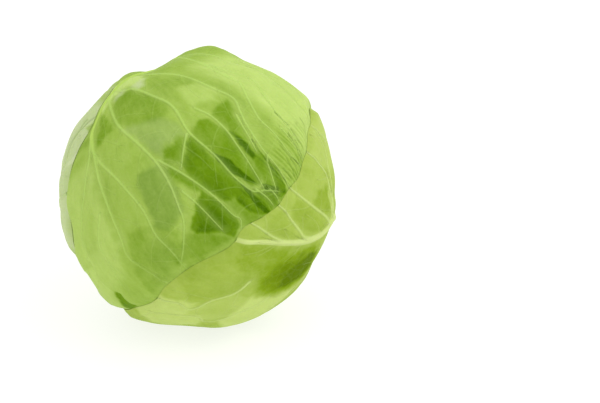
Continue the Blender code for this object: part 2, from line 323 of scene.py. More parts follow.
class Chart:
    """The flat drawing of one leaf and the way it is bent round the head."""

    # Half the step in degrees over which the margin's slant is read, and the least arm of a bearing
    SLANT_STEP = 0.5
    LEAST_ARM = 0.05

    def __init__(self, plan: LeafPlan) -> None:
        """Works out the chart's directions and its outline.

        Args:
            plan: The leaf's plan.
        """
        self.plan = plan
        polar, turn = math.radians(plan.polar), math.radians(plan.turn)
        around = math.cos(turn) * STEM_UP + math.sin(turn) * STEM_SIDE
        self.middle = math.cos(polar) * STEM_AXIS + math.sin(polar) * around
        self.forth = unit(self.middle * math.cos(polar) - STEM_AXIS)
        self.side = np.cross(self.middle, self.forth)
        points = sorted(plan.outline)
        wrapped = points[-2:] + points + points[:2]
        shift = (-360, -360) + (0,) * len(points) + (360, 360)
        self.bearings = np.array([point[0] + turn for point, turn in zip(wrapped, shift)], float)
        self.reaches = np.array([point[1] for point in wrapped], float)
        self.rib_knots = np.array([y for y, x in plan.midrib], float)
        self.rib_values = np.array([x for y, x in plan.midrib], float)
        self.base = stem_distance(plan.polar)

    def reach(self, bearing: Array) -> Array:
        """Distance from the middle to the waved margin.

        Args:
            bearing: Bearings in degrees, 0 towards the tip and positive to the side.

        Returns:
            Distances in mm.
        """
        waves = np.zeros_like(bearing)
        for count, height in MARGIN_WAVES:
            waves = waves + height * np.sin(np.radians(count * bearing + WAVE_PHASE * self.plan.turn))
        free = smooth(*WAVE_FADE, 180.0 - np.abs(bearing))
        return flowing(self.bearings, self.reaches, bearing) + waves * free

    def rib_line(self, y: Array) -> Array:
        """Sideways place of the midrib in mm."""
        return flowing(self.rib_knots, self.rib_values, y)

    def flat(self, directions: Array) -> tuple[Array, Array]:
        """Chart points of world directions.

        Args:
            directions: Directions from the middle of the head.

        Returns:
            Chart x and y in mm.
        """
        cosine = np.clip(directions @ self.middle, -1.0, 1.0)
        across, along = directions @ self.side, directions @ self.forth
        length = np.maximum(np.hypot(across, along), TINY)
        distance = np.arccos(cosine) * HEAD_RADIUS
        return distance * across / length, distance * along / length

    def bent(self, x: Array, y: Array) -> Array:
        """World directions of chart points.

        Args:
            x: Chart x in mm.
            y: Chart y in mm.

        Returns:
            Directions from the middle of the head.
        """
        distance = np.maximum(np.hypot(x, y), TINY)
        angle = (distance / HEAD_RADIUS)[:, None]
        tangent = (x / distance)[:, None] * self.side + (y / distance)[:, None] * self.forth
        return np.cos(angle) * self.middle + np.sin(angle) * tangent

    def inside(self, directions: Array) -> Array:
        """How far inside the margin directions lie.

        Args:
            directions: Directions from the middle of the head.

        Returns:
            Distances in mm, negative outside the leaf.
        """
        x, y = self.flat(directions)
        distance, bearing = np.hypot(x, y), np.degrees(np.arctan2(x, y))
        step = self.SLANT_STEP
        turn = (self.reach(bearing + step) - self.reach(bearing - step)) / math.radians(2.0 * step)
        arm = HEAD_RADIUS * np.maximum(np.sin(distance / HEAD_RADIUS), self.LEAST_ARM)
        return (self.reach(bearing) - distance) / np.hypot(1.0, turn / arm)

    def cover(self, directions: Array) -> Array:
        """1 where the leaf lies, 0 well away from it, and an even rise across its margin."""
        return smooth(-MARGIN_BEYOND, MARGIN_WITHIN, self.inside(directions))


@dataclass(frozen=True)
class VeinLine:
    """One vein as a smooth run of chart points in mm."""

    points: Array
    rank: Rank

    def widths(self) -> Array:
        """Half the vein's width in mm at each point."""
        start, end = self.rank.value
        return np.linspace(start, end, len(self.points))


class VeinTree:
    """The midrib, side veins, forks and twigs of one leaf."""

    # The midrib's first point beyond the base, its step in mm, and how much of the way to the tip it goes
    RIB_START = 2.0
    RIB_STEP = 6.0
    RIB_SHARE = 0.82

    # Twigs, in mm and degrees: where the first leaves a vein, the space between them, how they lean and bend,
    # how long they grow, and how near another vein stops them
    TWIG_FIRST = (4.0, 9.0)
    TWIG_SPACING = 13.0
    TWIG_SPREAD = (0.7, 1.3)
    TWIG_STEP = 2.5
    TWIG_LEAN = 55.0
    TWIG_LEANING = (0.75, 1.3)
    TWIG_BEND = (-6.0, 3.0)
    TWIG_REACH = (10.0, 28.0)
    TWIG_FREE = 5.0
    TWIG_GAP = 1.6
    TWIG_POINTS = 4

    def __init__(self, chart: Chart) -> None:
        """Gathers the listed veins of the chart's plan and grows twigs between them.

        Args:
            chart: The leaf's chart.
        """
        self.chart = chart
        plan = chart.plan
        tip = self.RIB_SHARE * float(chart.reach(np.array([0.0]))[0])
        y = np.arange(-chart.base + self.RIB_START, tip, self.RIB_STEP)
        rib = VeinLine(np.column_stack((chart.rib_line(y), y)), Rank.RIB)
        self.main = [rib] + [VeinLine(drawn_out(points), Rank.SIDE) for points in plan.veins]
        self.main += [VeinLine(drawn_out(points), Rank.FORK) for points in plan.forks]
        self.twigs = self.grow(random.Random(plan.seed))

    def grow(self, luck: random.Random) -> list[VeinLine]:
        """Lets twigs leave every main vein by turns to its left and right.

        Args:
            luck: Seeded draw for spacing, lean and length.

        Returns:
            The twigs.
        """
        twigs = []
        for index, vein in enumerate(self.main):
            others = self.main[:index] + self.main[index + 1:]
            walked, due, side = 0.0, luck.uniform(*self.TWIG_FIRST), 1
            for start, end in zip(vein.points, vein.points[1:]):
                run = end - start
                walked += float(np.hypot(*run))
                if walked < due:
                    continue
                due += self.TWIG_SPACING * luck.uniform(*self.TWIG_SPREAD)
                side = -side
                twig = self.twig(end, math.atan2(run[1], run[0]), side, others, luck)
                if len(twig) >= self.TWIG_POINTS:
                    twigs.append(VeinLine(np.array(twig), Rank.TWIG))
        return twigs

    def twig(self, start: Array, course: float, side: int, others: list[VeinLine],
             luck: random.Random) -> list[Array]:
        """Walks one twig away from its vein until it meets another vein or is long enough.

        Args:
            start: Where it leaves the vein.
            course: The vein's direction there, in radians.
            side: 1 for the left of the vein and -1 for its right.
            others: The veins that stop it.
            luck: Seeded draw.

        Returns:
            The twig's points.
        """
        lean = math.radians(self.TWIG_LEAN * luck.uniform(*self.TWIG_LEANING)) * side
        longest = luck.uniform(*self.TWIG_REACH)
        points, length = [start], 0.0
        while length < longest:
            lean += math.radians(luck.uniform(*self.TWIG_BEND)) * side
            ahead = np.array((math.cos(course + lean), math.sin(course + lean))) * self.TWIG_STEP
            points.append(points[-1] + ahead)
            length += self.TWIG_STEP
            if length > self.TWIG_FREE and self.gap_to(points[-1], others) < self.TWIG_GAP:
                break
        return points

    @staticmethod
    def gap_to(place: Array, veins: list[VeinLine]) -> float:
        """Distance from one chart point to the nearest of some veins.

        Args:
            place: The chart point.
            veins: The veins.

        Returns:
            The distance in mm.
        """
        gap = FAR
        for vein in veins:
            starts, runs = vein.points[:-1], np.diff(vein.points, axis=0)
            share = ((place - starts) * runs).sum(1) / np.maximum((runs ** 2).sum(1), TINY)
            off = place - starts - np.clip(share, 0.0, 1.0)[:, None] * runs
            gap = min(gap, float(np.linalg.norm(off, axis=1).min()))
        return gap

    @staticmethod
    def distance(x: Array, y: Array, veins: list[VeinLine]) -> tuple[Array, Array]:
        """Distance from chart points to the nearest of some veins.

        Args:
            x: Chart x in mm.
            y: Chart y in mm.
            veins: The veins to measure to, each over the points within VEIN_ROOM of it.

        Returns:
            The distance in half-widths of the nearest vein, negative on its right, and in mm.
        """
        signed, gap = np.full(x.shape, FAR), np.full(x.shape, FAR)
        for vein in veins:
            low_x, low_y = vein.points.min(0) - VEIN_ROOM
            high_x, high_y = vein.points.max(0) + VEIN_ROOM
            near = np.flatnonzero((x > low_x) & (x < high_x) & (y > low_y) & (y < high_y))
            at_x, at_y, widths = x[near], y[near], vein.widths()
            best, best_gap = signed[near], gap[near]
            for index in range(len(vein.points) - 1):
                start, end = vein.points[index], vein.points[index + 1]
                run = end - start
                off_x, off_y = at_x - start[0], at_y - start[1]
                share = np.clip((off_x * run[0] + off_y * run[1]) / max(float(run @ run), TINY), 0.0, 1.0)
                off_x, off_y = off_x - share * run[0], off_y - share * run[1]
                away = np.hypot(off_x, off_y)
                width = widths[index] + share * (widths[index + 1] - widths[index])
                here = np.where(run[0] * off_y - run[1] * off_x >= 0.0, away, -away) / width
                best = np.where(np.abs(here) < np.abs(best), here, best)
                best_gap = np.minimum(best_gap, away)
            signed[near], gap[near] = best, best_gap
        return signed, gap


@dataclass
class Skin:
    """What is worked out once for every point of a leaf."""

    x: Array
    y: Array
    directions: Array
    stack: Array
    inside: Array
    main: Array
    main_gap: Array
    fine: Array
    fine_gap: Array
    lumps: Array
    grain: Array
    weights: list[Array]


def set_inputs(tree: bpy.types.NodeTree, node: bpy.types.Node, inputs: dict[int | str, object]) -> None:
    """Links or sets inputs of a node.

    Args:
        tree: The node's tree.
        node: The node.
        inputs: Input name or number, to the socket it is linked from or to its value.
    """
    for name, value in inputs.items():
        if isinstance(value, Socket):
            tree.links.new(value, node.inputs[name])
        else:
            node.inputs[name].default_value = value


def add_node(tree: bpy.types.NodeTree, kind: str, settings: dict[str, object] | None = None,
             inputs: dict[int | str, object] | None = None, output: int | str = 0) -> Socket:
    """Adds a node with its settings and links.

    Args:
        tree: The node tree.
        kind: The node's type name.
        settings: Properties to set on the node.
        inputs: Input name or number, to the socket it is linked from or to its value.
        output: Name or number of the output to hand back.

    Returns:
        That output.
    """
    node = tree.nodes.new(kind)
    for name, value in (settings or {}).items():
        setattr(node, name, value)
    set_inputs(tree, node, inputs or {})
    return node.outputs[output]


def linear(code: str) -> tuple[float, float, float, float]:
    """The linear colour of an sRGB hex value.

    Args:
        code: The value, with a # before its six digits.

    Returns:
        Red, green, blue and a full alpha.
    """
    parts = [int(code[place:place + 2], 16) / 255.0 for place in (1, 3, 5)]
    bent = [part / 12.92 if part <= 0.04045 else ((part + 0.055) / 1.055) ** 2.4 for part in parts]
    return (bent[0], bent[1], bent[2], 1.0)


class Paint:
    """One new material, with short ways to add the nodes that all finishes use."""

    def __init__(self, name: str) -> None:
        """Makes the material with its Principled shader.

        Args:
            name: The material's name.
        """
        self.material = bpy.data.materials.new(name)
        self.material.use_nodes = True
        self.tree = self.material.node_tree

    def attribute(self, name: str, output: str = "Fac") -> Socket:
        """One of the mesh's attributes."""
        return add_node(self.tree, "ShaderNodeAttribute", {"attribute_name": name}, output=output)

    def place(self) -> Socket:
        """The Object coordinates."""
        return add_node(self.tree, "ShaderNodeTexCoord", output="Object")

    def maths(self, operation: str, *values: object) -> Socket:
        """The result of an operation on sockets and numbers."""
        return add_node(self.tree, "ShaderNodeMath", {"operation": operation}, dict(enumerate(values)))

    def noise(self, place: Socket, size: float, detail: float, output: str = "Fac", **more: float) -> Socket:
        """Noise with lumps of one size.

        Args:
            place: The coordinates to read.
            size: Size of a lump, in their unit.
            detail: How many finer layers are added.
            output: The output to hand back.
            more: Further inputs of the node.

        Returns:
            That output.
        """
        inputs = {"Vector": place, "Scale": 1.0 / size, "Detail": detail, **more}
        return add_node(self.tree, "ShaderNodeTexNoise", {}, inputs, output)

    def fade(self, value: Socket, low: float, high: float, falls: bool = False, soft: bool = True) -> Socket:
        """An even change from 0 to 1 between two values.

        Args:
            value: What is read.
            low: Where the change starts.
            high: Where it ends.
            falls: Whether it runs from 1 to 0.
            soft: Whether it starts and ends gently.

        Returns:
            The faded value.
        """
        settings = {"interpolation_type": "SMOOTHSTEP"} if soft else {}
        inputs = {"Value": value, 1: low, 2: high, 3: float(falls), 4: float(not falls)}
        return add_node(self.tree, "ShaderNodeMapRange", settings, inputs)

    def mixed(self, share: Socket, first: object, second: object) -> Socket:
        """One colour at share 0 and another at share 1."""
        return add_node(self.tree, "ShaderNodeMix", {"data_type": "RGBA"}, {0: share, 6: first, 7: second}, 2)

    def bump(self, height: Socket, depth: float) -> Socket:
        """Normals of a relief that is a number of mm deep."""
        return add_node(self.tree, "ShaderNodeBump", {}, {"Height": height, "Distance": depth * MM})

    def finished(self, inputs: dict[int | str, object]) -> bpy.types.Material:
        """The material, with these inputs of its shader linked or set."""
        set_inputs(self.tree, self.tree.nodes["Principled BSDF"], inputs)
        return self.material


@dataclass(frozen=True)
class LeafFinish:
    """Fresh cabbage leaf: smooth skin with a wax bloom over green flesh, pale where the veins run, with
    painted highlights and painted shade in its colour.
    """

    name: str
    pale: str
    middle: str
    deep: str
    darkest: str
    vein: str
    rib: str = "#c0d070"
    # Pale grey of the wax bloom, which also colours the painted highlights
    bloom_and_sheen: str = "#ced9a8"
    vein_strength: float = 0.8
    roughness: float = 0.42

    # Sizes in mm, on the leaf, of the patterns in its green
    MOTTLE = 11.0
    SPECK = 1.8
    PLEAT_SPACING = 3.6
    FIBRE_WIDTH = 3.2
    BUMP_HEIGHT = 0.4

    # Steps of the scale from pale to darkest green, and how far each pattern moves the green along it; the
    # pleats paint shade into their troughs and light onto their ridges
    TONES = (-1.0, 0.0, 0.6, 1.2)
    TONE_MOVES = (("mottle", 0.38), ("speck", 0.22), ("pleats", 0.38), ("fibre", 0.50))
    TONE_MIDDLE = 0.55

    # Net of the smallest veins, with cells, bends and their grain in mm, and the edge of its lines in cells
    NET_CELL = 6.0
    NET_BEND = 3.0
    NET_GRAIN = 4.0
    NET_EDGE = 0.10

    # Edges of the other veins in half-widths, and how strongly veins, the painted shade in creases and the
    # wax with its painted highlights colour the leaf
    EDGES = (("fine", 0.3, 2.2), ("main", 0.25, 1.7))
    BESIDE_VEINS = 0.16
    NET_STRENGTH = 0.05
    FINE_SHARE = 0.22
    CREASE_SHADE = 0.42
    WAX_STRENGTH = 0.7

    # Relief of each pattern, as a share of the bump's height
    BUMPS = (("fine", 0.5), ("net", 0.2), ("mottle", 0.5), ("speck", 0.1), ("fibre", 0.4), ("pleats", -0.7))

    # Gloss: how much rougher specks are, and the wax with its painted highlights
    SPECK_ROUGHNESS = 0.10
    WAX_ROUGHNESS = 0.15

    def patterns(self, paint: Paint) -> dict[str, Socket]:
        """Adds the patterns in the green: a soft mottle, fine specks, pleats and streaks of fibre.

        Args:
            paint: The material to add them to.

        Returns:
            Each pattern by its name.
        """
        place, chart = paint.place(), paint.attribute("chart", "Vector")
        waves = add_node(paint.tree, "ShaderNodeTexWave", {"bands_direction": "Y"},
                         {"Vector": chart, "Scale": math.pi / 10.0 / self.PLEAT_SPACING, "Distortion": 5.0,
                          "Detail": 1.0, "Detail Scale": 0.4}, "Fac")
        return {
            "mottle": paint.noise(place, self.MOTTLE * MM, 3.0),
            "speck": paint.noise(place, self.SPECK * MM, 2.0),
            "pleats": paint.maths("MULTIPLY", waves, paint.attribute("pleat")),
            "fibre": paint.noise(paint.attribute("fibre", "Vector"), self.FIBRE_WIDTH, 3.0, Roughness=0.6),
        }

    def veins(self, paint: Paint) -> dict[str, Socket]:
        """Adds the fine net of the smallest veins, the twigs and the side veins.

        Args:
            paint: The material to add them to.

        Returns:
            Each kind of vein by its name, 1 on the vein and 0 beside it.
        """
        chart = paint.attribute("chart", "Vector")
        warp = paint.noise(chart, self.NET_GRAIN, 1.0, "Color")
        bent = add_node(paint.tree, "ShaderNodeVectorMath", {"operation": "MULTIPLY_ADD"},
                        {0: warp, 1: (self.NET_BEND, self.NET_BEND, 0.0), 2: chart})
        cells = add_node(paint.tree, "ShaderNodeTexVoronoi", {"feature": "DISTANCE_TO_EDGE"},
                         {"Vector": bent, "Scale": 1.0 / self.NET_CELL})
        masks = {"net": paint.fade(cells, 0.0, self.NET_EDGE, falls=True)}
        for kind, low, high in self.EDGES:
            away = paint.maths("ABSOLUTE", paint.attribute(kind + "_line"))
            line = paint.fade(away, low, high, falls=True)
            masks[kind] = paint.maths("MULTIPLY", line, paint.attribute(kind + "_near"))
        return masks

    def green(self, paint: Paint, masks: dict[str, Socket]) -> Socket:
        """Adds the colour of the flesh, which the leaf's own map and the patterns move from pale to darkest.

        Args:
            paint: The material to add it to.
            masks: The patterns by name.

        Returns:
            The colour.
        """
        tone = paint.attribute("deep")
        for name, strength in self.TONE_MOVES:
            tone = paint.maths("MULTIPLY_ADD", masks[name], strength, tone)
        tone = paint.maths("SUBTRACT", tone, self.TONE_MIDDLE)
        colour = linear(self.pale)
        for start, end, code in zip(self.TONES, self.TONES[1:], (self.middle, self.deep, self.darkest)):
            colour = paint.mixed(paint.fade(tone, start, end, soft=False), colour, linear(code))
        return colour

    def build(self) -> bpy.types.Material:
        """Makes the material.

        Returns:
            The material, which reads the leaf's attributes and Object coordinates.
        """
        paint = Paint(self.name)
        masks = self.patterns(paint) | self.veins(paint)
        wax_and_sheen = paint.attribute("wax_and_sheen")

        # The flesh is paler beside a vein and palest on the rib, creases are darkened with painted shade, and
        # the wax bloom and painted highlights grey the green
        colour = self.green(paint, masks)
        coats = (
            (paint.attribute("main_near"), self.BESIDE_VEINS, self.pale),
            (masks["net"], self.NET_STRENGTH, self.vein),
            (masks["fine"], self.FINE_SHARE * self.vein_strength, self.vein),
            (masks["main"], self.vein_strength, self.vein),
            (paint.attribute("rib"), 1.0, self.rib),
            (paint.attribute("crease"), self.CREASE_SHADE, self.darkest),
            (wax_and_sheen, self.WAX_STRENGTH, self.bloom_and_sheen),
        )
        for source, strength, code in coats:
            colour = paint.mixed(paint.maths("MULTIPLY", source, strength), colour, linear(code))

        # Specks, the wax and its painted highlights take gloss from the smooth skin
        matt = self.roughness - 0.5 * self.SPECK_ROUGHNESS
        matt = paint.maths("MULTIPLY_ADD", masks["speck"], self.SPECK_ROUGHNESS, matt)
        matt = paint.maths("MULTIPLY_ADD", wax_and_sheen, self.WAX_ROUGHNESS, matt)
        height = masks["main"]
        for name, strength in self.BUMPS:
            height = paint.maths("MULTIPLY_ADD", masks[name], strength, height)
        return paint.finished({
            "Base Color": colour,
            "Roughness": matt,
            "Normal": paint.bump(height, self.BUMP_HEIGHT),
            "Specular IOR Level": 0.006,
            "IOR": 1.43,
            "Subsurface Weight": 0.06,
            "Subsurface Radius": (0.6, 1.0, 0.2),
            "Subsurface Scale": 2.0 * MM,
        })


@dataclass(frozen=True)
class HeartFinish:
    """Pale inner leaves, tightly packed, faintly ribbed."""

    name: str = "heart_leaves"
    light: str = "#d6dfa0"
    shade: str = "#a9bd62"

    LUMP = 22.0
    BUMP_HEIGHT = 1.0

    def build(self) -> bpy.types.Material:
        """Makes the material.

        Returns:
            The material.
        """
        paint = Paint(self.name)
        lumps = paint.noise(paint.place(), self.LUMP * MM, 4.0, Distortion=0.6)
        return paint.finished({
            "Base Color": paint.mixed(lumps, linear(self.light), linear(self.shade)),
            "Normal": paint.bump(lumps, self.BUMP_HEIGHT),
            "Roughness": 0.5,
            "Specular IOR Level": 0.3,
        })


@dataclass(frozen=True)
class StemFinish:
    """Cut cabbage stem: pale fibrous flesh, a ring of vessels, a dry rim and greenish bark."""

    name: str = "cut_stem"
    pith: str = "#e9ecd0"
    ring: str = "#c3ca92"
    rim: str = "#a9a877"
    bark: str = "#bccb8a"

    # Sizes in mm, and the edges of the cut face's zones as shares of its radius, with how far they wander
    FIBRE = 1.1
    STREAK = 6.0
    BUMP_HEIGHT = 0.5
    RING_ZONE = (0.62, 0.72)
    PITH_ZONE = (0.74, 0.82)
    RIM_ZONE = (0.92, 1.04)
    WANDER = 0.12

    def build(self) -> bpy.types.Material:
        """Makes the material.

        Returns:
            The material, which reads the stem's attributes.
        """
        paint = Paint(self.name)
        place = paint.place()
        fibre = paint.noise(place, self.FIBRE * MM, 3.0)
        streaks = paint.noise(place, self.STREAK * MM, 4.0)
        out = paint.maths("MULTIPLY_ADD", fibre, self.WANDER, paint.attribute("from_axis"))
        face = linear(self.pith)
        zones = ((self.RING_ZONE, self.ring), (self.PITH_ZONE, self.pith), (self.RIM_ZONE, self.rim))
        for zone, code in zones:
            face = paint.mixed(paint.fade(out, *zone), face, linear(code))
        bark = paint.mixed(streaks, linear(self.bark), linear(self.pith))
        return paint.finished({
            "Base Color": paint.mixed(paint.attribute("cut"), bark, face),
            "Normal": paint.bump(fibre, self.BUMP_HEIGHT),
            "Roughness": 0.62,
            "Specular IOR Level": 0.3,
        })


@dataclass(frozen=True)
class TableFinish:
    """White matt table top, lit from inside, so that shadows on it stay faint."""

    name: str = "white_table"
    glow: float = 0.75

    def build(self) -> bpy.types.Material:
        """Makes the material.

        Returns:
            The material.
        """
        return Paint(self.name).finished({
            "Base Color": (0.33, 0.33, 0.3, 1.0),
            "Roughness": 0.7,
            "Specular IOR Level": 0.0,
            "Emission Color": (1.0, 1.0, 1.0, 1.0),
            "Emission Strength": self.glow,
        })


def mesh_of(bm: bmesh.types.BMesh, name: str) -> bpy.types.Mesh:
    """Makes a mesh of a bmesh and frees the bmesh.

    Args:
        bm: The bmesh.
        name: The mesh's name.

    Returns:
        The mesh.
    """
    mesh = bpy.data.meshes.new(name)
    bm.to_mesh(mesh)
    bm.free()
    return mesh


def finish_piece(mesh: bpy.types.Mesh, node: str, material: bpy.types.Material) -> bpy.types.Object:
    """Makes a finished mesh the piece that stands for a CAD node.

    Args:
        mesh: The mesh, in metres in the row's frame.
        node: The CAD node that it replaces.
        material: Its material.

    Returns:
        The piece.
    """
    mesh.materials.append(material)
    piece = bpy.data.objects.new(node + "_look", mesh)
    bpy.context.scene.collection.objects.link(piece)
    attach(piece, "root")
    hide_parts(node)
    LOG.info("%s: %d faces", piece.name, len(mesh.polygons))
    return piece


def set_attribute(mesh: bpy.types.Mesh, name: str, values: Array) -> None:
    """Stores an attribute for the points of a mesh.

    Args:
        mesh: The mesh.
        name: The attribute's name.
        values: One number or one row of x, y, z for each point.
    """
    kind, key = ("FLOAT", "value") if values.ndim == 1 else ("FLOAT_VECTOR", "vector")
    layer = mesh.attributes.new(name, kind, "POINT")
    layer.data.foreach_set(key, np.ascontiguousarray(values, dtype=np.float32).ravel())


@dataclass
class WrapperLeaf:
    """One wrapper leaf: a finely modelled outer face, a plain inner face and a thin rim."""

    plan: LeafPlan
    finish: LeafFinish
    above: tuple[Chart, ...] = ()

    INNER_CELLS = 96
    SHARP_ANGLE = 60.0

    # Noise: size of a lump in mm and layers of detail
    LUMPS = (26.0, 2)
    GRAIN = (7.0, 3)

    # Relief in mm
    UNDULATION = 0.55
    TWIG_PILLOW = 0.15
    TWIG_PILLOW_RISE = 3.5
    CORD_HEIGHT = 0.45
    CORD_EDGE = (0.2, 2.2)
    CORD_REACH = 3.0
    PATCH_WANDER = 2.4
    CREASE_DEPTH = 0.5
    CREASE_EDGE = 1.6
    COVERED = 0.5

    # Greens and wax: shares of the lumps and the grain, and the pale zone beside the stem in mm
    TONE_LUMPS = 0.16
    TONE_GRAIN = 0.07
    BASE_PALENESS = 0.9
    BASE_LENGTH = 70.0
    WAX_LEVEL = 0.02
    WAX_LUMPS = 0.06
    WAX_TONES = (0.2, 0.8)

    # Streaks of fibre that fan out, in mm
    FAN_ARM = 55.0
    FIBRE_STRETCH = 0.14

    # The rib's cream colour, in half-widths across and mm along, and the pale zones beside veins, in mm
    CREAM_EDGE = (0.5, 0.95)
    CREAM_FADE = 8.0
    MAIN_ZONE = 3.2
    FINE_ZONE = 2.2
    FAINT = 0.6
    FAINT_RISE = (78.0, 118.0)

    def __post_init__(self) -> None:
        """Prepares the chart and the veins."""
        self.chart = Chart(self.plan)
        self.tree = VeinTree(self.chart)
        self.creases = [VeinLine(drawn_out(points), Rank.CREASE) for points in self.plan.creases]

    def slab(self) -> bpy.types.Mesh:
        """Makes a flat slab: a fine grid at z = 0, a coarse one at z = 1 and a rim between them.

        Returns:
            The slab, 2 wide and 2 long.
        """
        bm = bmesh.new()
        wide, long = self.plan.cells
        bmesh.ops.create_grid(bm, x_segments=wide, y_segments=long, size=1.0)
        bmesh.ops.create_grid(bm, x_segments=self.INNER_CELLS, y_segments=self.INNER_CELLS, size=1.0,
                              matrix=Matrix.Translation((0.0, 0.0, 1.0)))
        bmesh.ops.bridge_loops(bm, edges=[edge for edge in bm.edges if edge.is_boundary])
        bmesh.ops.recalc_face_normals(bm, faces=bm.faces)
        return mesh_of(bm, self.plan.node)

    def spread(self, u: Array, v: Array) -> tuple[Array, Array]:
        """Chart points of grid points, with the grid's middle column along the midrib.

        Args:
            u: Grid coordinate across, from -1 to 1.
            v: Grid coordinate along, from -1 to 1.

        Returns:
            Chart x and y in mm.
        """
        disc_x, disc_y = u * np.sqrt(1.0 - v * v / 2.0), v * np.sqrt(1.0 - u * u / 2.0)
        reach = self.chart.reach(np.degrees(np.arctan2(disc_x, disc_y)))
        hold = np.clip(1.0 - disc_x ** 2 - disc_y ** 2, 0.0, 1.0)
        y = disc_y * reach
        return disc_x * reach + self.chart.rib_line(y) * hold, y

    def study(self, x: Array, y: Array) -> Skin:
        """Works out what the relief and the colours need at chart points.

        Args:
            x: Chart x in mm.
            y: Chart y in mm.

        Returns:
            The points with all that was worked out.
        """
        directions = self.chart.bent(x, y)
        stack = sum((chart.cover(directions) for chart in self.above), np.zeros(len(directions)))
        main, main_gap = VeinTree.distance(x, y, self.tree.main)
        fine, fine_gap = VeinTree.distance(x, y, self.tree.twigs)
        lumps = rough(directions * HEAD_RADIUS, *self.LUMPS, self.plan.seed)
        grain = rough(directions * HEAD_RADIUS, *self.GRAIN, self.plan.seed + 1)
        near_x, near_y = x + self.PATCH_WANDER * grain, y + self.PATCH_WANDER * lumps
        weights = [patch.weight(near_x, near_y) for patch in self.plan.patches]
        inside = self.chart.inside(directions)
        return Skin(x, y, directions, stack, inside, main, main_gap, fine, fine_gap, lumps, grain, weights)

    def patched(self, skin: Skin, effect: str, start: Array) -> Array:
        """Adds one effect of the leaf's patches to a value.

        Args:
            skin: The points.
            effect: The patches' field: deep, waxy or rise.
            start: The value without them.

        Returns:
            The value with them.
        """
        total = start
        for patch, weight in zip(self.plan.patches, skin.weights):
            total = total + getattr(patch, effect) * weight
        return total

    def pleats(self, skin: Skin) -> Array:
        """How strongly the blade is pleated, from 0 to 1. Most leaves are not."""
        return np.zeros_like(skin.x)

    def crease(self, skin: Skin) -> Array:
        """1 along the creases, 0 away from them; they are sunk a little and darkened with painted shade."""
        line, _ = VeinTree.distance(skin.x, skin.y, self.creases)
        return 1.0 - smooth(0.0, self.CREASE_EDGE, np.abs(line))

    def bulge(self, skin: Skin) -> Array:
        """Height of the blade over its plain layer: pillows between veins, waves, dips, creases and a lip.

        Args:
            skin: The points.

        Returns:
            The height in mm.
        """
        pillows = self.plan.pillow * smooth(0.0, PILLOW_RISE, skin.main_gap)
        near = np.minimum(skin.fine_gap, skin.main_gap)
        small = self.TWIG_PILLOW * smooth(0.0, self.TWIG_PILLOW_RISE, near)
        lip = self.plan.lip * (1.0 - smooth(0.0, LIP_WIDTH, skin.inside)) * np.maximum(skin.lumps, 0.0)
        free = smooth(0.0, BASE_HOLD, skin.y + self.chart.base) * smooth(0.0, MARGIN_WITHIN, skin.inside)
        total = self.patched(skin, "rise", pillows + small + self.UNDULATION * skin.lumps)
        return (total - self.CREASE_DEPTH * self.crease(skin)) * free + lip

    def rib_share(self, skin: Skin) -> tuple[Array, Array]:
        """Where points lie on the midrib.

        Args:
            skin: The points.

        Returns:
            Distance from the rib's crest in half-widths, and the crest's height in mm.
        """
        taper = RIB_TIP_SHARE + (1.0 - RIB_TIP_SHARE) * np.exp(-(skin.y + self.chart.base) / RIB_TAPER)
        off = np.abs(skin.x - self.chart.rib_line(skin.y)) / (self.plan.rib_width * taper)
        return off, self.plan.rib_height * taper

    def rib(self, skin: Skin) -> Array:
        """Height of the midrib and the veins on the blade.

        Args:
            skin: The points.

        Returns:
            The height in mm.
        """
        off, height = self.rib_share(skin)
        reach = np.exp(-((skin.main_gap / self.CORD_REACH) ** 2))
        cords = self.CORD_HEIGHT * (1.0 - smooth(*self.CORD_EDGE, np.abs(skin.main))) * reach
        return np.maximum(height * (1.0 - smooth(0.0, 1.0, off)), cords)

    def tone(self, skin: Skin) -> Array:
        """How deep the green is.

        Args:
            skin: The points.

        Returns:
            -1 for the palest green, 0 for the middle one, 0.6 for deep and 1.2 for the darkest.
        """
        base = 1.0 - smooth(0.0, self.BASE_LENGTH, skin.y + self.chart.base)
        plain = self.TONE_LUMPS * skin.lumps + self.TONE_GRAIN * skin.grain - self.BASE_PALENESS * base
        return self.patched(skin, "deep", plain)

    def wax_and_sheen(self, skin: Skin) -> Array:
        """Strength of the pale wax bloom on the skin, thin where the green is dark, with the patches' painted
        highlights added.

        Args:
            skin: The points.

        Returns:
            The strength, from 0 to 1.
        """
        light = 1.0 - smooth(*self.WAX_TONES, self.tone(skin))
        wax = (self.WAX_LEVEL + self.WAX_LUMPS * skin.lumps) * light
        return np.clip(self.patched(skin, "wax_and_sheen", wax), 0.0, 1.0)

    def fibres(self, skin: Skin) -> Array:
        """Places for a pattern of streaks that fan out from one point of the leaf.

        Args:
            skin: The points.

        Returns:
            Rows of x, y, z in mm.
        """
        off_x, off_y = skin.x - self.plan.fan[0], skin.y - self.plan.fan[1]
        across = self.FAN_ARM * np.arctan2(off_x, off_y)
        return np.column_stack((across, self.FIBRE_STRETCH * np.hypot(off_x, off_y), np.zeros_like(across)))

    def faces(self, skin: Skin) -> tuple[Array, Array]:
        """Where the leaf's two faces lie.

        Args:
            skin: The points.

        Returns:
            Distances in mm from the middle of the head to the outer and the inner face.
        """
        clear = clear_of_floor(skin.directions)
        within = smooth(0.0, MARGIN_WITHIN, skin.inside)
        layer = np.minimum(head_surface(skin.directions), floor_limit(skin.directions)) - LAYER * skin.stack
        layer = layer - MARGIN_DROOP * (1.0 - within) * clear
        free = (1.0 - smooth(0.0, self.COVERED, skin.stack)) * clear
        blade = layer + self.bulge(skin) * free
        return blade + self.rib(skin) * free, blade - MARGIN_BLADE - (BLADE - MARGIN_BLADE) * within

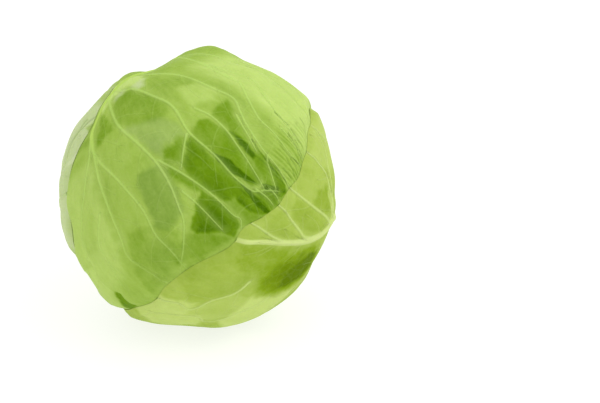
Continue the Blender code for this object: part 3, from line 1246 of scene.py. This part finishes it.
    def maps(self, skin: Skin) -> dict[str, Array]:
        """What the leaf's material reads.

        Args:
            skin: The points.

        Returns:
            Values for each attribute by its name.
        """
        beyond = skin.y + self.chart.base - self.plan.cream_end
        cream = 1.0 - smooth(*self.CREAM_EDGE, self.rib_share(skin)[0])
        faint = 1.0 - self.FAINT * smooth(*self.FAINT_RISE, skin.y)
        return {
            "deep": self.tone(skin),
            "wax_and_sheen": self.wax_and_sheen(skin),
            "crease": self.crease(skin),
            "pleat": self.pleats(skin),
            "rib": cream * (1.0 - smooth(-self.CREAM_FADE, self.CREAM_FADE, beyond)),
            "main_line": skin.main,
            "main_near": np.exp(-((skin.main_gap / self.MAIN_ZONE) ** 2)) * faint,
            "fine_line": skin.fine,
            "fine_near": np.exp(-((skin.fine_gap / self.FINE_ZONE) ** 2)),
            "chart": np.column_stack((skin.x, skin.y, np.zeros_like(skin.x))),
            "fibre": self.fibres(skin),
        }

    def build(self) -> bpy.types.Object:
        """Builds the leaf's mesh with its attributes and dresses it.

        Returns:
            The finished piece.
        """
        mesh = self.slab()
        flat = np.empty(len(mesh.vertices) * 3, dtype=np.float32)
        mesh.vertices.foreach_get("co", flat)
        flat = flat.reshape(-1, 3).astype(float)
        skin = self.study(*self.spread(flat[:, 0], flat[:, 1]))
        outer, inner = self.faces(skin)
        places = placed(skin.directions, np.where(flat[:, 2] < 0.5, outer, inner))
        places = np.clip(places, *(np.array(corner) for corner in CAD_BOX))
        mesh.vertices.foreach_set("co", np.ascontiguousarray(places, dtype=np.float32).ravel())
        for name, values in self.maps(skin).items():
            set_attribute(mesh, name, values)
        mesh.shade_smooth()
        mesh.set_sharp_from_angle(angle=math.radians(self.SHARP_ANGLE))
        return finish_piece(mesh, self.plan.node, self.finish.build())


class CapLeaf(WrapperLeaf):
    """The big green leaf over the top and the tip, with pleats beside the outermost leaf's margin."""

    # Where the pleats start and end, in mm on the chart, and how the grain breaks them up
    PLEAT_SIDE = (98.0, 124.0)
    PLEAT_START = (-62.0, -40.0)
    PLEAT_END = (8.0, 24.0)
    PLEAT_LEVEL = 0.8
    PLEAT_GRAIN = 0.8

    def pleats(self, skin: Skin) -> Array:
        """Strength of pleats that run across the margin of the leaf above.

        Args:
            skin: The points.

        Returns:
            The strength, from 0 to 1.
        """
        near = smooth(*self.PLEAT_SIDE, skin.x) * smooth(*self.PLEAT_START, skin.y)
        near = near * (1.0 - smooth(*self.PLEAT_END, skin.y))
        return near * np.clip(self.PLEAT_LEVEL + self.PLEAT_GRAIN * skin.grain, 0.0, 1.0)


@dataclass
class Heart:
    """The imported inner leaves, seen only through the gaps beside the stem. Sizes in mm."""

    charts: tuple[Chart, ...]
    finish: HeartFinish = HeartFinish()
    subdivisions: int = 6
    air: float = 0.6
    stem_foot: float = 64.0
    stem_gap: float = 0.3
    lump_height: float = 0.3
    lumps: tuple[float, int, int] = (12.0, 2, 3)

    def build(self) -> bpy.types.Object:
        """Builds and dresses the heart.

        Returns:
            The finished piece.
        """
        bm = bmesh.new()
        bmesh.ops.create_icosphere(bm, subdivisions=self.subdivisions, radius=1.0)
        directions = unit(np.array([vert.co[:] for vert in bm.verts]))
        distances = np.minimum(head_surface(directions), floor_limit(directions))
        for chart in self.charts:
            distances = distances - LAYER * chart.cover(directions)
        distances = distances - self.air + self.lump_height * rough(directions * HEAD_RADIUS, *self.lumps)
        stem_limit = (self.stem_foot - self.stem_gap) / np.maximum(directions @ STEM_AXIS, TINY)
        for vert, place in zip(bm.verts, placed(directions, np.minimum(distances, stem_limit))):
            vert.co = place
        mesh = mesh_of(bm, "heart")
        mesh.shade_smooth()
        return finish_piece(mesh, "heart", self.finish.build())


@dataclass
class Stem:
    """The cut stump between the leaf bases, sizes in mm."""

    foot: float = 64.0
    neck: float = 79.0
    cut: float = 92.0
    cut_radius: float = 14.5
    clearance: float = 0.8
    sides: int = 120
    scars: int = 5
    scar_depth: float = 0.7
    finish: StemFinish = StemFinish()

    # The bevel round the cut face: its height, and how far the shoulder and the bevel's two edges lie
    # beyond the cut's radius
    BEVEL = 1.2
    SHOULDER_OUT = 1.6
    BEVEL_OUT = 0.4
    FACE_OUT = -0.6

    # Rings up the side and across the face, and what sinks and roughens them
    SIDE_RINGS = 36
    FACE_RINGS = 12
    FACE_HOLE = 0.4
    FACE_SINK = 0.5
    WOBBLE = 0.25
    WOBBLE_GRAIN = (0.3, 0.2)
    SHARP_ANGLE = 50.0

    def profile(self) -> tuple[Array, Array]:
        """The side's outline, which is a cone up to the neck.

        Returns:
            Heights along the stem's axis, and the radii there.
        """
        slope = math.tan(math.radians(STEM_CONE))
        middle, shoulder = 0.5 * (self.foot + self.neck), 0.5 * (self.neck + self.cut)
        knots = [(height, height * slope - self.clearance) for height in (self.foot, middle, self.neck)]
        knots += [(shoulder, self.cut_radius + self.SHOULDER_OUT),
                  (self.cut - self.BEVEL, self.cut_radius + self.BEVEL_OUT),
                  (self.cut, self.cut_radius + self.FACE_OUT)]
        heights, radii = zip(*knots)
        fine = np.linspace(self.foot, self.cut, self.SIDE_RINGS)
        return fine, np.interp(fine, heights, radii)

    def ring(self, bm: bmesh.types.BMesh, height: float, radius: float, sink: float,
             is_cut: float) -> list[bmesh.types.BMEdge]:
        """Adds one ring of points round the axis.

        Args:
            bm: The bmesh, with its layers from_axis and cut.
            height: Height along the axis.
            radius: The ring's radius before the scars flute it.
            sink: How far it lies below its height.
            is_cut: 1 on the cut face, 0 on the side.

        Returns:
            The ring's edges in turn.
        """
        out, cut = bm.verts.layers.float["from_axis"], bm.verts.layers.float["cut"]
        round_grain, axis_grain = self.WOBBLE_GRAIN
        ring = bmesh.ops.create_circle(bm, segments=self.sides, radius=1.0)["verts"]
        for vert in ring:
            angle = math.atan2(vert.co.y, vert.co.x)
            flute = self.scar_depth * (math.cos(self.scars * angle) - 1.0) * radius / self.cut_radius
            around = math.cos(angle) * STEM_UP + math.sin(angle) * STEM_SIDE
            grain = Vector(around * radius * round_grain + height * axis_grain * STEM_AXIS)
            wobble = self.WOBBLE * noise.noise(grain)
            level = height - sink - wobble * is_cut
            place = (radius + flute + wobble * (1.0 - is_cut)) * around + level * STEM_AXIS
            vert.co = Vector((place + MIDDLE) * MM)
            vert[out] = radius / self.cut_radius
            vert[cut] = is_cut
        return list(dict.fromkeys(edge for vert in ring for edge in vert.link_edges))

    def build(self) -> bpy.types.Object:
        """Builds and dresses the stem.

        Returns:
            The finished piece.
        """
        heights, radii = self.profile()
        bm = bmesh.new()
        for name in ("from_axis", "cut"):
            bm.verts.layers.float.new(name)
        rings = [self.ring(bm, height, radius, 0.0, 0.0) for height, radius in zip(heights, radii)]
        for radius in np.linspace(radii[-1], self.FACE_HOLE, self.FACE_RINGS)[1:]:
            sink = self.FACE_SINK * (1.0 - (radius / radii[-1]) ** 2)
            rings.append(self.ring(bm, self.cut, radius, sink, 1.0))
        for lower, upper in zip(rings, rings[1:]):
            bmesh.ops.bridge_loops(bm, edges=lower + upper)
        for end in (rings[0], rings[-1]):
            bmesh.ops.contextual_create(bm, geom=end)
        bmesh.ops.recalc_face_normals(bm, faces=bm.faces)
        mesh = mesh_of(bm, "stem")
        mesh.shade_smooth()
        mesh.set_sharp_from_angle(angle=math.radians(self.SHARP_ANGLE))
        return finish_piece(mesh, "stem", self.finish.build())


@dataclass
class Studio:
    """White table top, soft light and the camera at the photograph's viewing angle. Sizes in metres."""

    focal: float = 300.0
    sensor: float = 36.0
    width: int = 600
    height: int = 403
    elevation: float = 24.0
    head_pixel: tuple[float, float] = (199.0, 189.0)
    head_pixel_radius: float = 138.0
    table_size: float = 3.0
    key_place: tuple[float, float, float] = (0.55, -0.2, 1.0)
    key_size: float = 0.9
    key_watts: float = 3.0

    def build(self) -> None:
        """Builds the floor, the surround, the light and the camera."""
        self.floor()
        self.surround()
        self.lamp()
        self.camera()

    def add(self, name: str, data: bpy.types.ID) -> bpy.types.Object:
        """Adds an object to the scene.

        Args:
            name: The object's name.
            data: Its mesh, light or camera.

        Returns:
            The object.
        """
        thing = bpy.data.objects.new(name, data)
        bpy.context.scene.collection.objects.link(thing)
        return thing

    def floor(self) -> None:
        """A plain white table top."""
        bm = bmesh.new()
        bmesh.ops.create_grid(bm, x_segments=1, y_segments=1, size=self.table_size)
        mesh = mesh_of(bm, "floor")
        mesh.materials.append(TableFinish().build())
        floor = self.add("floor", mesh)

    def surround(self) -> None:
        """An even white surround."""
        world = bpy.data.worlds.new("surround")
        bpy.context.scene.world = world
        world.use_nodes = True
        set_inputs(world.node_tree, world.node_tree.nodes["Background"],
                   {"Color": (1.0, 1.0, 1.0, 1.0), "Strength": 1.0})

    def lamp(self) -> None:
        """A square soft light that faces the head."""
        data = bpy.data.lights.new("key", "AREA")
        data.energy = self.key_watts
        data.size = self.key_size
        lamp = self.add("key", data)
        lamp.location = self.key_place
        aim = Vector(MIDDLE * MM) - Vector(self.key_place)
        lamp.rotation_euler = aim.to_track_quat("-Z", "Y").to_euler()

    def camera(self) -> None:
        """The camera, set so that the head lies where the photograph has it."""
        rise = math.radians(self.elevation)
        per_unit = self.width * self.focal / self.sensor
        distance = HEAD_RADIUS * MM * math.hypot(1.0, per_unit / self.head_pixel_radius)
        back, right = Vector((0.0, -math.cos(rise), math.sin(rise))), Vector((1.0, 0.0, 0.0))
        off_x = (self.width / 2.0 - self.head_pixel[0]) / per_unit * distance
        off_y = (self.head_pixel[1] - self.height / 2.0) / per_unit * distance
        middle = Vector(MIDDLE * MM)
        place = middle + back * distance
        target = middle + right * off_x + back.cross(right) * off_y
        data = bpy.data.cameras.new("view")
        data.lens = self.focal
        data.sensor_width = self.sensor
        camera = self.add("view", data)
        camera.location = place
        camera.rotation_euler = (target - place).to_track_quat("-Z", "Y").to_euler()
        bpy.context.scene.camera = camera
        bpy.context.scene.view_settings.view_transform = "Standard"


# How a side vein bends: share of its reach out to the side, and up towards the tip
FEATHER_BENDS = ((0.35, 0.20), (0.66, 0.30), (0.90, 0.55))

# Where a broad leaf narrows beside its stem, as shares of the shoulder and of the base
LOW_SHOULDER = 0.92
LOW_BASE = 0.99


def feathered(reach: float, first: float, last: float, pairs: int) -> tuple[Pairs, ...]:
    """Side veins in pairs that leave a straight midrib and bend towards the tip.

    Args:
        reach: Length of a vein in mm.
        first: Chart y of the first pair.
        last: Chart y of the last pair.
        pairs: How many pairs there are.

    Returns:
        The veins' points.
    """
    veins = []
    for step in np.linspace(first, last, pairs):
        for side in (-1, 1):
            bends = tuple((side * out * reach, float(step) + up * reach) for out, up in FEATHER_BENDS)
            veins.append(((0.0, float(step)),) + bends)
    return tuple(veins)


def rounded(tip: float, side: float, shoulder: float, base: float) -> Pairs:
    """Outline of a broad leaf that is alike on both sides.

    Args:
        tip: Distance in mm from the chart's middle to the tip.
        side: The distance to the side.
        shoulder: The distance to the shoulder towards the stem.
        base: The distance to the base.

    Returns:
        Bearings in degrees, each with its distance.
    """
    half = ((30, tip), (60, 0.5 * (tip + side)), (90, side), (120, shoulder), (145, shoulder * LOW_SHOULDER))
    right = ((0, tip),) + half + ((165, base * LOW_BASE), (180, base))
    left = ((-165, base * LOW_BASE),) + tuple((-bearing, reach) for bearing, reach in reversed(half))
    return left + right


STRAIGHT_RIB = ((-220, 0), (220, 0))

CAP_VEINS = (
    ((0, -86), (45, -76), (90, -72), (128, -78)),
    ((0, -58), (18, -48), (37, -43), (56, -44), (74, -50), (88, -42), (99, -37), (109, -34), (122, -29),
     (138, -22)),
    ((37, -43), (52, -39), (66, -38), (72, -38), (82, -29), (93, -20), (99, -17), (109, -16), (125, -12),
     (137, -14)),
    ((-2, -30), (15, -22), (38, -23), (62, -21), (76, -21), (84, -14), (93, -6), (109, 4), (117, 6),
     (137, 14)),
    ((-5, -8), (5, -5), (14, -6), (31, -1), (43, 2), (51, 7), (64, 19), (82, 27), (98, 36), (111, 39),
     (117, 35), (129, 26)),
    ((-7, -3), (3, 9), (15, 22), (34, 34), (48, 44), (58, 56), (64, 69), (67, 79), (64, 96), (58, 110)),
    ((-1, 39), (5, 45), (21, 57), (38, 74), (45, 90), (55, 102), (64, 122)),
    ((-7, 30), (-6, 44), (-14, 66), (-34, 92), (-39, 107)),
    ((1, 77), (-10, 95), (-9, 103), (-11, 126)),
)
CAP_FORKS = (
    ((60, 0), (71, 1), (83, 6), (92, 12), (102, 19), (115, 29), (120, 33)),
    ((84, -9), (90, -4), (98, 2), (105, 8)),
    ((113, 5), (115, 11), (120, 17), (127, 26)),
    ((49, 42), (69, 48), (87, 55), (101, 63), (107, 64), (109, 72)),
    ((66, 58), (78, 65), (94, 77)),
    ((62, 20), (63, 31), (64, 43)),
    ((114, 36), (122, 37), (129, 39)),
    ((123, 29), (130, 31), (133, 33)),
    ((110, -26), (122, -24), (136, -20)),
)
# Zones of tone on the cap leaf: mostly its own mottled greens, but the dark band beside the outermost leaf's
# margin, about x 90 to 130 mm, is partly painted shade
CAP_PATCHES = (
    Patch(((3, 13), (4, 0), (13, -5), (28, -2), (44, 3), (46, 12), (37, 18), (27, 21), (11, 20)), 0.35),
    Patch(((-3, 11), (8, 18), (13, 23), (8, 28), (5, 33), (1, 34), (-1, 24)), 0.45, soft=1.5),
    Patch(((19, -18), (29, -21), (47, -24), (50, -16), (43, -11), (39, -4), (28, -7)), 0.15),
    Patch(((63, 20), (67, 20), (84, 29), (94, 34), (103, 38), (111, 41), (121, 45), (129, 46), (123, 52),
           (114, 54), (104, 53), (100, 49), (98, 54), (95, 57), (85, 54), (77, 51), (67, 45), (65, 41)),
          0.75, soft=1.6),
    Patch(((84, 41), (90, 40), (99, 43), (99, 48), (94, 49), (89, 53), (84, 49)), 0.10, soft=3.0),
    Patch(((79, 54), (90, 58), (101, 63), (106, 67), (107, 71), (103, 80), (95, 80), (74, 84), (72, 82),
           (74, 72), (77, 67), (76, 63)), 0.80, soft=1.6),
    Patch(((78, 68), (85, 64), (92, 66), (97, 70), (95, 78), (75, 84), (78, 77)), 0.20, soft=2.5),
    Patch(((54, 33), (59, 25), (62, 22), (64, 42), (52, 42), (52, 37)), 0.50),
    Patch(((52, 43), (64, 45), (76, 51), (80, 54), (74, 55), (63, 52), (58, 48)), 0.70),
    Patch(((64, 18), (64, 6), (71, 2), (86, 8), (96, 14), (113, 27), (115, 31), (110, 38), (96, 34),
           (83, 27), (71, 22)), 0.55, soft=1.6),
    Patch(((82, 25), (92, 26), (102, 32), (111, 34), (107, 36), (95, 34), (86, 30)), 1.25, soft=1.2),
    Patch(((70, -1), (70, -10), (74, -16), (85, -6), (93, -1), (104, 7), (115, 11), (128, 25), (119, 30),
           (112, 26), (100, 16), (88, 7), (80, 3)), 0.50),
    Patch(((86, 6), (93, 6), (99, 7), (106, 13), (105, 17), (99, 14), (91, 10)), 0.90, soft=1.5),
    Patch(((104, 6), (114, 8), (123, 10), (135, 16), (136, 20), (128, 25), (116, 11)), 0.85, soft=1.5),
    Patch(((111, 40), (128, 26), (138, 15), (135, 28), (130, 43), (121, 42)), 0.85, soft=1.8),
    Patch(((116, 31), (121, 28), (128, 23), (129, 28), (121, 33)), 1.60, soft=1.0),
    Patch(((104, 40), (111, 41), (121, 42), (129, 44), (125, 49), (115, 47)), 0.90, rise=-0.5, soft=1.0),
    Patch(((100, 50), (109, 52), (122, 53), (125, 53), (119, 62), (109, 71), (107, 66), (101, 61),
           (96, 58)), 0.40),
    Patch(((55, 110), (66, 85), (74, 84), (103, 80), (98, 86), (78, 101)), 0.40, soft=3.0),
    Patch(((36, 53), (47, 46), (56, 47), (64, 58), (68, 70), (54, 86), (46, 85), (39, 68)), 0.50, 0.12),
    Patch(((23, 88), (43, 84), (63, 85), (57, 110), (35, 126), (15, 134), (16, 112)), 0.25),
    Patch(((60, 114), (64, 107), (82, 100), (75, 108)), 0.25, soft=1.2),
    Patch(((45, 87), (73, 84), (91, 82), (108, 74), (108, 79), (97, 90), (82, 99), (59, 109), (55, 111),
           (65, 90)), 0.05),
    Patch(((-7, 28), (-21, 32), (-32, 37), (-33, 42), (-28, 41), (-17, 36), (-6, 32)), 0.25, soft=1.2),
    Patch(((-10, 57), (-3, 74), (-15, 98), (-34, 98), (-26, 82), (-17, 65)), 0.20),
    Patch(((44, -9), (50, -18), (65, -22), (67, -12), (59, -1), (52, -5)), -0.45),
    Patch(((19, 24), (40, 15), (56, 13), (62, 20), (52, 31), (50, 40), (42, 37), (29, 28)), 0.25, 0.20),
    Patch(((40, -32), (70, -30), (100, -30), (140, -26), (140, -110), (40, -110)), -0.75, soft=9.0),
    Patch(((-2, 45), (-30, 50), (-90, 60), (-90, 120), (-60, 145), (-30, 125), (0, 118), (10, 95), (2, 60)),
          -0.45, soft=6.0),
    Patch(((-41, 104), (-34, 119), (-30, 126), (-35, 132), (-49, 139), (-70, 133), (-73, 115), (-74, 102)),
          -0.20, rise=-0.6, soft=1.5),
    # Dark crevice beside the pale wedge: a shallow groove, its deep green partly painted shade
    Patch(((-27, 125), (-22, 128), (-22, 135), (-26, 142), (-43, 143), (-48, 139), (-35, 132)), 0.70,
          rise=-0.8, soft=1.2),
    Patch(((-12, -3), (-9, -13), (-4, -21), (7, -22), (16, -15), (13, -8), (3, -6), (-2, 0), (-3, 9),
           (-9, 6)), -1.05),
    # Painted highlights: two small pale streaks of gloss beside the midrib
    Patch(((12, -7), (15, -16), (20, -9), (17, -6)), 0.0, 0.9),
    Patch(((1, -3), (7, -5), (7, -2), (4, 3), (1, 2)), 0.0, 0.6),
)
# Creases, sunk a little and darkened with painted shade
CAP_CREASES = (
    ((104, 43), (114, 46), (127, 48)),
    ((100, 2), (108, 7), (116, 11)),
    ((112, 7), (120, 9), (129, 12), (136, 15)),
    ((118, 32), (123, 29), (129, 25)),
    ((116, -11), (126, -10), (135, -13)),
    ((100, -35), (106, -35), (112, -35)),
    ((125, -4), (131, -1), (136, 2)),
    ((127, -8), (133, -6), (138, -4)),
    ((126, 5), (131, 6), (136, 7)),
    ((116, -27), (122, -25), (128, -22)),
    ((115, -34), (122, -32), (130, -30)),
    ((112, -53), (120, -51), (126, -47)),
)

OUTER_VEINS = (
    ((-15, -26), (-30, -16), (-50, -10), (-62, -12), (-78, -7)),
    ((-13, -38), (-38, -34), (-60, -37), (-69, -17), (-77, -8)),
    ((-15, -26), (-34, -10), (-45, -4), (-53, 6), (-60, 14)),
    ((-13, -18), (-20, -2), (-26, 14), (-33, 29), (-36, 34), (-41, 40)),
    ((-7, 2), (-7, 17), (-11, 24), (-17, 33), (-22, 39), (-27, 46)),
    ((-3, 30), (-4, 39), (-6, 47), (-10, 57), (-12, 64)),
    ((30, 43), (41, 46), (54, 55), (70, 57), (70, 68), (80, 79)),
    ((42, 13), (50, 18), (60, 26), (78, 33), (75, 44), (84, 56), (98, 64)),
    ((-12, -34), (32, -14), (88, 7), (136, 34)),
    ((-10, -50), (36, -44), (88, -34), (140, -30)),
)
# Zones of tone on the outermost leaf: the first three darken the hollow under the rib, partly its own olive
# green and partly painted shadow of a neighbouring cut cabbage that the scene leaves out
OUTER_PATCHES = (
    Patch(((5, 65), (3, 55), (2, 36), (2, 20), (0, 1), (4, -8), (15, -8), (26, -4), (32, 5), (41, 16),
           (35, 32), (22, 46), (17, 60)), 0.45, rise=-0.6, soft=5.0),
    Patch(((12, 29), (6, 16), (0, 1), (5, -11), (17, -11), (26, -5), (33, 4), (37, 14), (35, 29), (26, 32)),
          0.40, rise=-0.8, soft=6.0),
    Patch(((15, 10), (9, 4), (2, -6), (15, -14), (26, -6), (31, 3), (32, 11), (24, 13)), 0.65, soft=4.0),
    Patch(((20, 84), (12, 77), (5, 70), (15, 61), (20, 51), (30, 43), (40, 47), (53, 56), (71, 56),
           (53, 76), (45, 92), (26, 86)), 0.15, soft=1.2),
    Patch(((41, 30), (43, 13), (34, 0), (31, -7), (40, -8), (53, -11), (78, -12), (80, 8), (72, 30)), -1.00,
          soft=3.0),
    Patch(((-21, -1), (-26, 14), (-31, 16), (-36, 10), (-39, 0), (-31, -36), (-28, -13), (-21, -13)), 0.40,
          soft=2.0),
    Patch(((-33, 32), (-21, 2), (-17, -13), (-12, -7), (-10, -1), (-10, 16), (-12, 24), (-19, 33),
           (-25, 35)), 0.25, soft=1.5),
    Patch(((-23, 41), (-11, 27), (-7, 21), (-6, 38), (-7, 46), (-11, 55), (-17, 50), (-21, 45)), 0.15,
          soft=1.5),
    Patch(((-84, -28), (-59, -37), (-47, -21), (-49, 0), (-60, 13), (-74, -5)), -0.30),
    Patch(((75, 80), (60, 60), (78, 52), (74, 44), (85, 30), (110, 30), (110, 70)), -0.80, soft=3.0),
    Patch(((-8, -18), (-14, -27), (-22, -25), (-31, -16), (-37, -8), (-33, -4), (-25, -10), (-18, -15),
           (-12, -16)), -0.65, soft=1.2),
    Patch(((64, 57), (47, 50), (40, 42), (43, 32), (60, 30), (76, 36), (76, 52)), -0.35, soft=2.0),
)
# Zones of tone on the left outer leaf: the first pales its visible strip, partly its own pale green and
# partly painted sheen
LEFT_PATCHES = (
    Patch(((86, 121), (68, 133), (42, 150), (33, 138), (25, 128), (-10, 120), (-50, 90), (17, 80), (65, 84),
           (85, 108)), -0.70, soft=6.0),
    Patch(((57, 129), (67, 132), (62, 135), (53, 134)), 0.9, soft=1.0),
    Patch(((46, 143), (41, 137), (33, 130), (26, 122), (22, 121), (28, 132), (38, 143)), -0.4, 0.3,
          soft=1.0),
)
# Creases, sunk a little and darkened with painted shade
LEFT_CREASES = (
    ((72, 128), (60, 126), (52, 120), (41, 116), (31, 115), (20, 113)),
    ((66, 124), (54, 120), (40, 112), (24, 106)),
    ((60, 134), (52, 135), (46, 136)),
)

LEFT_VEINS = (
    ((0, 30), (20, 80), (30, 119), (41, 120), (52, 123), (60, 129), (72, 131)),
    ((0, 0), (-10, 50), (-4, 90), (8, 112)),
    ((0, -20), (-30, 30), (-34, 60), (-38, 80)),
)

PLANS = (
    LeafPlan("leaf_lower_inner", 80, 162, rounded(108, 110, 104, stem_distance(80)), STRAIGHT_RIB,
             feathered(80, -70, 30, 5), (), 4.0, 8.0, 0.0, 0.0, (150, 150), 11),
    LeafPlan("leaf_right_inner", 85, 34, rounded(112, 112, 106, stem_distance(85)), STRAIGHT_RIB,
             feathered(80, -76, 30, 5), (), 4.0, 8.0, 0.0, 0.0, (150, 150), 12),
    LeafPlan("leaf_back_inner", 85, 284, rounded(118, 116, 108, stem_distance(85)), STRAIGHT_RIB,
             feathered(84, -76, 34, 5), (), 4.5, 8.5, 0.8, 0.0, (200, 200), 13),
    LeafPlan("leaf_cap", 145, -26,
             ((-165, 188), (-150, 170), (-130, 152), (-110, 142), (-90, 138), (-60, 141), (-35, 152),
              (-14, 166), (15, 162), (45, 160), (70, 165), (100, 166), (130, 161), (150, 170), (165, 188),
              (180, stem_distance(145))),
             ((-220, 0), (-60, 0), (-30, 0), (-2, -6), (10, -8), (27, -7), (40, -1), (53, 4), (73, 11),
              (92, 15), (107, 16), (120, 32), (150, 40)),
             CAP_VEINS + feathered(-84, -100, -40, 2), CAP_FORKS, 5.0, 10.5, 1.1, 0.6, (290, 300), 14,
             CAP_PATCHES, CAP_CREASES, 228.0, (-6.0, -30.0)),
    LeafPlan("leaf_left_outer", 75, 235,
             ((-165, 90), (-145, 92), (-120, 96), (-90, 91), (-60, 82), (-40, 82), (-24, 97), (-13, 114),
              (-2, 114), (6, 121), (14, 134), (22, 145), (36, 147), (60, 128), (90, 112), (120, 104),
              (145, 94), (165, 90), (180, stem_distance(75))),
             STRAIGHT_RIB, feathered(86, -62, 20, 4) + LEFT_VEINS, (), 5.0, 9.0, 0.8, 0.3, (220, 220), 15,
             LEFT_PATCHES, LEFT_CREASES),
    LeafPlan("leaf_right_outer", 65, 95,
             ((-165, 75), (-145, 82), (-125, 94), (-108, 92), (-92, 74), (-74, 62), (-57, 53), (-47, 49.5),
              (-36, 53), (-26, 53.5), (-17, 58), (-9, 62.5), (1, 67.5), (13, 79), (26, 95), (34, 101),
              (42, 108), (50, 117), (62, 130), (80, 148), (95, 157), (108, 154), (125, 136),
              (140, 108), (152, 88), (165, 77), (180, stem_distance(65))),
             ((-220, 0), (-76, 0), (-45, -10), (-26, -14), (-14, -10.5), (0, -7), (17, -4), (48, -1), (66, 2),
              (90, 4)),
             OUTER_VEINS, (), 4.2, 9.0, 0.9, 0.6, (290, 250), 16, OUTER_PATCHES),
)

FINISHES = {
    "leaf_lower_inner": LeafFinish("lower_inner_leaf", "#bcd080", "#9dba5c", "#7c9f34", "#5f8420", "#c5d68c"),
    "leaf_right_inner": LeafFinish("right_inner_leaf", "#bcd080", "#9dba5c", "#7c9f34", "#5f8420", "#c5d68c"),
    "leaf_back_inner": LeafFinish("back_inner_leaf", "#b0c974", "#8cac48", "#66881f", "#4b6d10", "#bcd27c"),
    "leaf_cap": LeafFinish("cap_leaf", "#bdd576", "#96b34a", "#6c9014", "#456a00", "#b2d26a", "#b3d160",
                           vein_strength=0.62),
    # The left outer leaf's greyish greens hold painted sheen as well as its own pale colour
    "leaf_left_outer": LeafFinish("left_outer_leaf", "#c6d3a2", "#a5bc6a", "#7c9a3a", "#5d7c22", "#c8dc8e"),
    "leaf_right_outer": LeafFinish("right_outer_leaf", "#bfd276", "#a1b84e", "#819e18", "#5d7800", "#c0d47c",
                                   "#c6d684"),
}


def main() -> None:
    """Builds the head's pieces in order, then the studio, and notes the sizes."""
    logging.basicConfig(level=logging.INFO, format="%(message)s")
    charts = tuple(Chart(plan) for plan in PLANS)
    Heart(charts).build()
    Stem().build()
    for index, plan in enumerate(PLANS):
        kind = CapLeaf if plan.node == "leaf_cap" else WrapperLeaf
        kind(plan, FINISHES[plan.node], charts[index + 1:]).build()
    Studio().build()
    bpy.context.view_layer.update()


if __name__ == "__main__":
    main()
